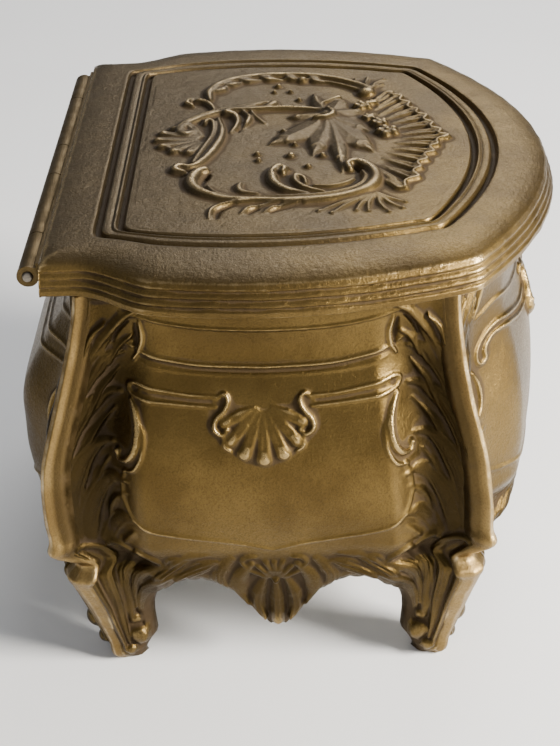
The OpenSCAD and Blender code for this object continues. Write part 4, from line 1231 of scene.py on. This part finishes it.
# ---------------------------------------------------------------- materials
class Nodes:
    """A node-based material, built with short calls."""

    def __init__(self, name):
        self.material = bpy.data.materials.new(name)
        self.material.use_nodes = True
        self.tree = self.material.node_tree
        self.shader = self.tree.nodes["Principled BSDF"]
        self.place = self.add("ShaderNodeTexCoord").outputs["Object"]

    def add(self, kind, **settings):
        node = self.tree.nodes.new(kind)
        for key, value in settings.items():
            setattr(node, key, value)
        return node

    def link(self, value, socket):
        if isinstance(value, bpy.types.NodeSocket):
            self.tree.links.new(value, socket)
        else:
            socket.default_value = value

    def noise(self, size_mm, detail=4.0, rough=0.55, warp=0.0, place=None):
        node = self.add("ShaderNodeTexNoise")
        self.link(place or self.place, node.inputs["Vector"])
        node.inputs["Scale"].default_value = 1 / (size_mm * MM)
        node.inputs["Detail"].default_value = detail
        node.inputs["Roughness"].default_value = rough
        node.inputs["Distortion"].default_value = warp
        return node.outputs["Fac"]

    def cells(self, size_mm, output="Distance", place=None):
        node = self.add("ShaderNodeTexVoronoi")
        self.link(place or self.place, node.inputs["Vector"])
        node.inputs["Scale"].default_value = 1 / (size_mm * MM)
        return node.outputs[output]

    def stretched(self, scale):
        node = self.add("ShaderNodeMapping")
        self.link(self.place, node.inputs["Vector"])
        node.inputs["Scale"].default_value = scale
        return node.outputs["Vector"]

    def attribute(self, name):
        return self.add("ShaderNodeAttribute", attribute_name=name).outputs["Fac"]

    def ramp(self, value, low, high, a=0.0, b=1.0):
        node = self.add("ShaderNodeMapRange", interpolation_type="SMOOTHSTEP")
        self.link(value, node.inputs["Value"])
        for key, number in (("From Min", low), ("From Max", high), ("To Min", a), ("To Max", b)):
            node.inputs[key].default_value = number
        return node.outputs["Result"]

    def math(self, operation, a, b=0.0, clamp=False):
        node = self.add("ShaderNodeMath", operation=operation, use_clamp=clamp)
        self.link(a, node.inputs[0])
        self.link(b, node.inputs[1])
        return node.outputs[0]

    def blend(self, share, a, b):
        node = self.add("ShaderNodeMix", data_type="RGBA")
        self.link(share, node.inputs[0])
        self.link(a, node.inputs[6])
        self.link(b, node.inputs[7])
        return node.outputs[2]

    def level(self, share, a, b):
        node = self.add("ShaderNodeMix", data_type="FLOAT")
        self.link(share, node.inputs[0])
        self.link(a, node.inputs[2])
        self.link(b, node.inputs[3])
        return node.outputs[0]

    def bump(self, height, distance_mm, strength=1.0, under=None):
        node = self.add("ShaderNodeBump")
        node.inputs["Strength"].default_value = strength
        node.inputs["Distance"].default_value = distance_mm * MM
        self.link(height, node.inputs["Height"])
        if under is not None:
            self.link(under, node.inputs["Normal"])
        return node.outputs["Normal"]

    def done(self, **sockets):
        for key, value in sockets.items():
            self.link(value, self.shader.inputs[key.replace("_", " ")])
        return self.material


def colour(r, g, b):
    return (r, g, b, 1.0)


def gilt(name, pale, deep, worn, worn_at, grime_and_shade_at, rough, grain=1.0, dull=None):
    """Old gilt paint on cast metal: sandy grain, brown dirt and painted shade in the hollows, painted shade
    where the deep attribute is set, and bare bright crests.
    dull is the colour that the paint has gone to towards the back."""
    m = Nodes(name)
    shape = m.attribute("convex")
    cloud, patch, sand = m.noise(14.0, 3.0), m.noise(2.6, 4.0), m.noise(0.28, 3.0, 0.7)
    speck = m.cells(0.55)
    crest = m.math("ADD", shape, m.math("MULTIPLY", m.math("SUBTRACT", patch, 0.5), 0.22))
    crest = m.math("ADD", crest, m.math("MULTIPLY", m.math("SUBTRACT", sand, 0.5), 0.20))
    bare = m.ramp(crest, worn_at, worn_at + 0.17)
    # Brown dirt and painted shade in the hollows, where the convexity is low.
    dirt_and_shade = m.math("SUBTRACT", 1.0, m.ramp(crest, grime_and_shade_at - 0.12, grime_and_shade_at + 0.06))
    tone = m.blend(m.ramp(cloud, 0.35, 0.65), colour(*pale), colour(*deep))
    if dull:
        split = m.add("ShaderNodeSeparateXYZ")
        m.link(m.place, split.inputs[0])
        drift = m.math("ADD", split.outputs[1], m.math("MULTIPLY", m.math("SUBTRACT", cloud, 0.5), 0.05))
        upper = m.ramp(split.outputs[2], (LID_TOP - 1.6) * MM, (LID_TOP - 0.4) * MM)
        tone = m.blend(m.math("MULTIPLY", m.ramp(drift, -0.032, 0.012, 0.0, 0.85), upper), tone,
                       colour(*dull))
    tone = m.blend(m.ramp(sand, 0.40, 0.72, 0.0, 0.55), tone, colour(*[0.62 * c for c in deep]))
    spots = m.ramp(speck, 0.12, 0.05, 0.0, 0.5)
    tone = m.blend(m.math("MULTIPLY", spots, m.ramp(patch, 0.5, 0.62)), tone, colour(0.10, 0.075, 0.045))
    # Painted shade: the deep attribute darkens the coves, the legs, the band under the lid and the ridges'
    # flanks.
    tone = m.blend(m.math("MULTIPLY", m.attribute("deep"), 0.90), tone, colour(*[0.22 * c for c in deep]))
    tone = m.blend(m.math("MULTIPLY", bare, 0.62), tone, colour(*worn))
    # Brown dirt and painted shade darken the hollows.
    tone = m.blend(m.math("MULTIPLY", dirt_and_shade, 0.78), tone, colour(0.036, 0.021, 0.008))
    gloss = m.level(bare, m.ramp(sand, 0.3, 0.7, rough - 0.07, rough + 0.09), 0.27)
    gloss = m.level(dirt_and_shade, gloss, 0.75)
    metal = m.level(dirt_and_shade, 0.92, 0.35)
    height = m.math("ADD", m.math("MULTIPLY", sand, 0.6), m.math("MULTIPLY", m.noise(0.9, 3.0), 0.7))
    normal = m.bump(height, 0.11 * grain, 0.9)
    normal = m.bump(m.ramp(m.cells(1.7), 0.0, 0.22), 0.05, 0.5, normal)
    return m.done(Base_Color=tone, Roughness=gloss, Metallic=metal, Normal=normal, Specular_IOR_Level=0.25)


def plain_metal(name, pale, dark, rough, brushed=None):
    """Brass, tin or steel that has dulled: blotches, dark spots and fine drawn lines."""
    m = Nodes(name)
    lines = m.noise(0.22, 3.0, place=m.stretched(brushed)) if brushed else m.noise(0.22, 3.0)
    blotch = m.noise(3.4, 5.0, 0.65)
    tone = m.blend(m.ramp(blotch, 0.22, 0.82), colour(*pale), colour(*dark))
    tone = m.blend(m.ramp(lines, 0.5, 0.75, 0.0, 0.45), tone, colour(*[0.55 * c for c in dark]))
    pits = m.ramp(m.cells(0.9), 0.10, 0.03, 0.0, 0.7)
    tone = m.blend(m.math("MULTIPLY", pits, m.ramp(blotch, 0.5, 0.6)), tone, colour(0.05, 0.035, 0.02))
    gloss = m.ramp(blotch, 0.3, 0.7, rough, rough + 0.2)
    return m.done(Base_Color=tone, Roughness=gloss, Metallic=m.ramp(pits, 0.0, 0.7, 0.95, 0.5),
                  Normal=m.bump(m.math("ADD", lines, m.math("MULTIPLY", blotch, 0.6)), 0.05, 0.8))


def silk_cloth(name, pale, deep, thread_mm, sheen=0.5):
    """A woven silk: two sets of fine threads that catch the light differently, and faint soiling."""
    m = Nodes(name)
    split = m.add("ShaderNodeSeparateXYZ")
    m.link(m.place, split.inputs[0])
    wobble = m.math("MULTIPLY", m.noise(4.0, 2.0), 0.0006)
    across = m.math("ADD", m.math("ADD", split.outputs[0], split.outputs[1]), wobble)
    upward = m.math("ADD", m.math("SUBTRACT", split.outputs[1], m.math("MULTIPLY", split.outputs[2], 1.37)),
                    wobble)
    turn = 2 * math.pi / (thread_mm * MM)
    warp = m.math("SINE", m.math("MULTIPLY", across, turn))
    weft = m.math("SINE", m.math("MULTIPLY", upward, turn * 0.8))
    weave = m.math("ADD", m.math("MULTIPLY", m.math("MULTIPLY", warp, weft), 0.5), 0.5)
    slub = m.noise(1.1, 3.0, place=m.stretched((1.0, 1.0, 9.0)))
    soil = m.noise(11.0, 4.0)
    tone = m.blend(m.ramp(slub, 0.35, 0.7), colour(*pale), colour(*deep))
    tone = m.blend(m.ramp(weave, 0.2, 0.9, 0.25, 0.0), tone, colour(*[0.6 * c for c in deep]))
    tone = m.blend(m.ramp(soil, 0.52, 0.75, 0.0, 0.35), tone, colour(0.42, 0.33, 0.20))
    m.shader.inputs["Sheen Weight"].default_value = sheen
    m.shader.inputs["Sheen Roughness"].default_value = 0.35
    height = m.math("ADD", m.math("MULTIPLY", weave, 0.5), m.math("MULTIPLY", slub, 0.5))
    return m.done(Base_Color=tone, Roughness=m.ramp(weave, 0.0, 1.0, 0.62, 0.42),
                  Normal=m.bump(height, 0.06, 0.7))


# ---------------------------------------------------------------- the object
SIDE_GRID, LONG_GRID = (325, 273), (353, 257)


def build_castings(casting_gilt, ridge_gilt, lid_gilt):
    """The four walls, the four ridges and the lid."""
    side = side_relief()
    walls = (("left", left_pt, SIDE_REACH, side, SIDE_GRID), ("right", left_pt, SIDE_REACH, side, SIDE_GRID),
             ("front", front_pt, LONG_REACH, long_relief(True), LONG_GRID),
             ("back", back_pt, LONG_REACH, long_relief(False), LONG_GRID))
    for seed, (place, point, reach, relief, grid) in enumerate(walls, 3):
        wall = casting(place + "_wall", point, reach, relief, *grid, seed, mirror=place == "right")
        keep(wall, "body", "gilt_casting", casting_gilt, place + "_casting")
    for sy, long_side in ((-1, "front"), (1, "back")):
        for sx, end in ((-1, "left"), (1, "right")):
            place = long_side + "_" + end
            strip = ridge("ridge_" + place, long_side == "back", sx, sy, 40 + sx + 3 * sy)
            keep(strip, "body", "worn_ridge", ridge_gilt, place + "_ridge")
    keep(lid_casting(), "lid", "gilt_casting", lid_gilt, "lid_casting")


def build_lining(silk, board, braid):
    """The silk cards, the two pads on their boards, and the two twisted cords."""
    walls = (("front", front_pt, FRONT_CARD), ("back", back_pt, BACK_CARD), ("left", left_pt, SIDE_CARD),
             ("right", left_pt, SIDE_CARD))
    for seed, (place, point, span) in enumerate(walls, 1):
        card = lining("silk_" + place, point, span, seed, mirror=place == "right")
        keep(card, "body", "silk", silk, place + "_lining")
    ring = body_ring(MOUTH_Z, LINING_IN + CARD_T + 0.2)
    keep(slab("floor_board", ring, LINING_LOW, LINING_LOW + CARD_T, 0.18), "body", "card", board,
         "floor_card")
    pad_low = LINING_LOW + CARD_T + TINY
    ring = body_ring(MOUTH_Z, LINING_IN + CARD_T + 0.5)
    cushion = pad("floor_cushion", ring, pad_low, pad_low + PAD_T, cap=0.9, seed=7)
    keep(cushion, "body", "silk", silk, "floor_pad")
    cord = twisted_cord("mouth_braid", body_ring(MOUTH_Z, WALL + CORD_R + 0.2), MOUTH_Z, CORD_R, pitch=3.4)
    keep(cord, "body", "cord", braid, "mouth_cord")
    top = LID_TOP - PANEL_T - TINY
    card = slab("lid_board", lid_ring(FLANGE_Q + 0.04)[::RING_STEP], top - CARD_T, top, 0.18)
    keep(card, "lid", "card", board, "lid_card")
    cushion = pad("lid_cushion", lid_ring(FLANGE_Q + 0.3)[::RING_STEP], BODY_TOP, top - CARD_T - TINY,
                  cap=0.7, seed=8)
    keep(cushion, "lid", "silk", silk, "lid_pad")
    cord = twisted_cord("lid_braid", lid_ring(0.91)[::RING_STEP], LID_CORD_Z, LID_CORD_R, pitch=3.0)
    keep(cord, "lid", "cord", braid, "lid_cord")


def build_metalwork(brass_with_painted_shade, steel, tin, solder):
    """The hinge pin, and the CAD pieces that are kept with a new material."""
    keep(pin(), "body", "steel_pin", steel, "hinge_pin")
    for node, material in (("body_hinge_leaf", brass_with_painted_shade), ("lid_hinge_leaf", brass_with_painted_shade), ("floor_plate", tin),
                           ("floor_lugs", solder)):
        mesh = frame["nodes"][node].data
        mesh.materials.clear()
        mesh.materials.append(material)


def build_object():
    """Every piece, with its material."""
    casting_gilt = gilt("gilt_casting", (0.128, 0.083, 0.025), (0.080, 0.050, 0.014), (0.38, 0.27, 0.115),
                        worn_at=0.83, grime_and_shade_at=0.32, rough=0.36)
    ridge_gilt = gilt("worn_ridge", (0.26, 0.175, 0.067), (0.17, 0.108, 0.037), (0.60, 0.48, 0.29),
                      worn_at=0.74, grime_and_shade_at=0.30, rough=0.36)
    lid_gilt = gilt("gilt_lid", (0.138, 0.090, 0.029), (0.088, 0.056, 0.018), (0.40, 0.29, 0.14),
                    worn_at=0.83, grime_and_shade_at=0.36, rough=0.40, dull=(0.080, 0.058, 0.030))
    build_castings(casting_gilt, ridge_gilt, lid_gilt)
    silk = silk_cloth("silk", (0.72, 0.60, 0.40), (0.60, 0.47, 0.28), thread_mm=0.32)
    board = silk_cloth("card", (0.55, 0.47, 0.35), (0.44, 0.36, 0.25), thread_mm=0.7, sheen=0.1)
    braid = silk_cloth("cord", (0.58, 0.42, 0.20), (0.44, 0.30, 0.12), thread_mm=0.24)
    build_lining(silk, board, braid)
    # The hinge brass is kept dark: brass painted over in dull gilt, with painted shade for the barrel behind
    # the lid's back edge.
    brass_with_painted_shade = plain_metal("hinge_brass", (0.118, 0.080, 0.032), (0.072, 0.048, 0.018), rough=0.44,
                        brushed=(0.2, 1, 1))
    steel = plain_metal("steel_pin", (0.24, 0.21, 0.17), (0.12, 0.10, 0.08), rough=0.40, brushed=(1, 0.2, 1))
    tin = plain_metal("tinned_plate", (0.52, 0.51, 0.48), (0.34, 0.32, 0.28), rough=0.38,
                      brushed=(0.15, 1, 1))
    solder = plain_metal("solder", (0.48, 0.47, 0.45), (0.27, 0.26, 0.24), rough=0.42)
    build_metalwork(brass_with_painted_shade, steel, tin, solder)


# ---------------------------------------------------------------- floor, light and camera
FLOOR_REACH = 2000


def floor():
    """A plain pale floor."""
    at = FLOOR_REACH * np.array([[-1.0, -1, 0], [1, -1, 0], [1, 1, 0], [-1, 1, 0]])
    obj = new_mesh("studio_floor", at, [(0, 1, 2, 3)], smooth=False)
    m = Nodes("studio_floor")
    tone = m.blend(m.ramp(m.noise(60.0, 2), 0.3, 0.7), colour(0.86, 0.86, 0.86), colour(0.84, 0.84, 0.84))
    obj.data.materials.append(m.done(Base_Color=tone, Roughness=0.7))


def area_light(name, at, size, power, tint=(1, 1, 1), target=(0, 0, 0.035)):
    """A soft lamp that faces the middle of the box."""
    data = bpy.data.lights.new(name, "AREA")
    data.shape = "RECTANGLE"
    data.size, data.size_y = size
    data.energy = power
    data.color = tint
    obj = bpy.data.objects.new(name, data)
    obj.location = at
    obj.rotation_euler = (Vector(target) - Vector(at)).to_track_quat("-Z", "Y").to_euler()
    bpy.context.scene.collection.objects.link(obj)


def studio():
    """Soft light: a pale sky that is brighter above, and three lamps."""
    world = bpy.data.worlds.new("studio")
    world.use_nodes = True
    tree = world.node_tree
    sky = tree.nodes["Background"]
    direction = tree.nodes.new("ShaderNodeTexCoord")
    split = tree.nodes.new("ShaderNodeSeparateXYZ")
    tree.links.new(direction.outputs["Generated"], split.inputs[0])
    height = tree.nodes.new("ShaderNodeMapRange")
    tree.links.new(split.outputs[2], height.inputs["Value"])
    for key, number in (("From Min", -0.1), ("From Max", 0.9), ("To Min", 0.10), ("To Max", 0.38)):
        height.inputs[key].default_value = number
    sky.inputs["Color"].default_value = colour(0.94, 0.96, 1.0)
    tree.links.new(height.outputs["Result"], sky.inputs["Strength"])
    bpy.context.scene.world = world
    area_light("key", (-0.17, -0.38, 0.22), (0.16, 0.16), 9.0, (1.0, 0.955, 0.88))
    area_light("fill", (-0.55, 0.25, 0.30), (0.5, 0.4), 0.6)
    area_light("back", (0.42, -0.12, 0.45), (0.3, 0.3), 2.2)


EYE = (-0.2182, -0.0009, 0.1572)
YAW, PITCH, ROLL = 0.012415, 0.53594, -0.02434
LENS_MM, SENSOR_MM = 77.21, 36.0


def camera():
    """The photo's view, from the left end and above."""
    look = Vector((math.cos(YAW) * math.cos(PITCH), math.sin(YAW) * math.cos(PITCH), -math.sin(PITCH)))
    side = look.cross(Vector((0, 0, 1))).normalized()
    up = side.cross(look)
    right = side * math.cos(ROLL) + up * math.sin(ROLL)
    above = up * math.cos(ROLL) - side * math.sin(ROLL)
    data = bpy.data.cameras.new("camera")
    data.lens, data.sensor_width, data.sensor_fit = LENS_MM, SENSOR_MM, "AUTO"
    data.clip_start = 0.005
    obj = bpy.data.objects.new("camera", data)
    turn = Matrix((right, above, -look)).transposed().to_4x4()
    obj.matrix_world = Matrix.Translation(Vector(EYE)) @ turn
    bpy.context.scene.collection.objects.link(obj)
    bpy.context.scene.camera = obj


camera()
build_object()
floor()
studio()
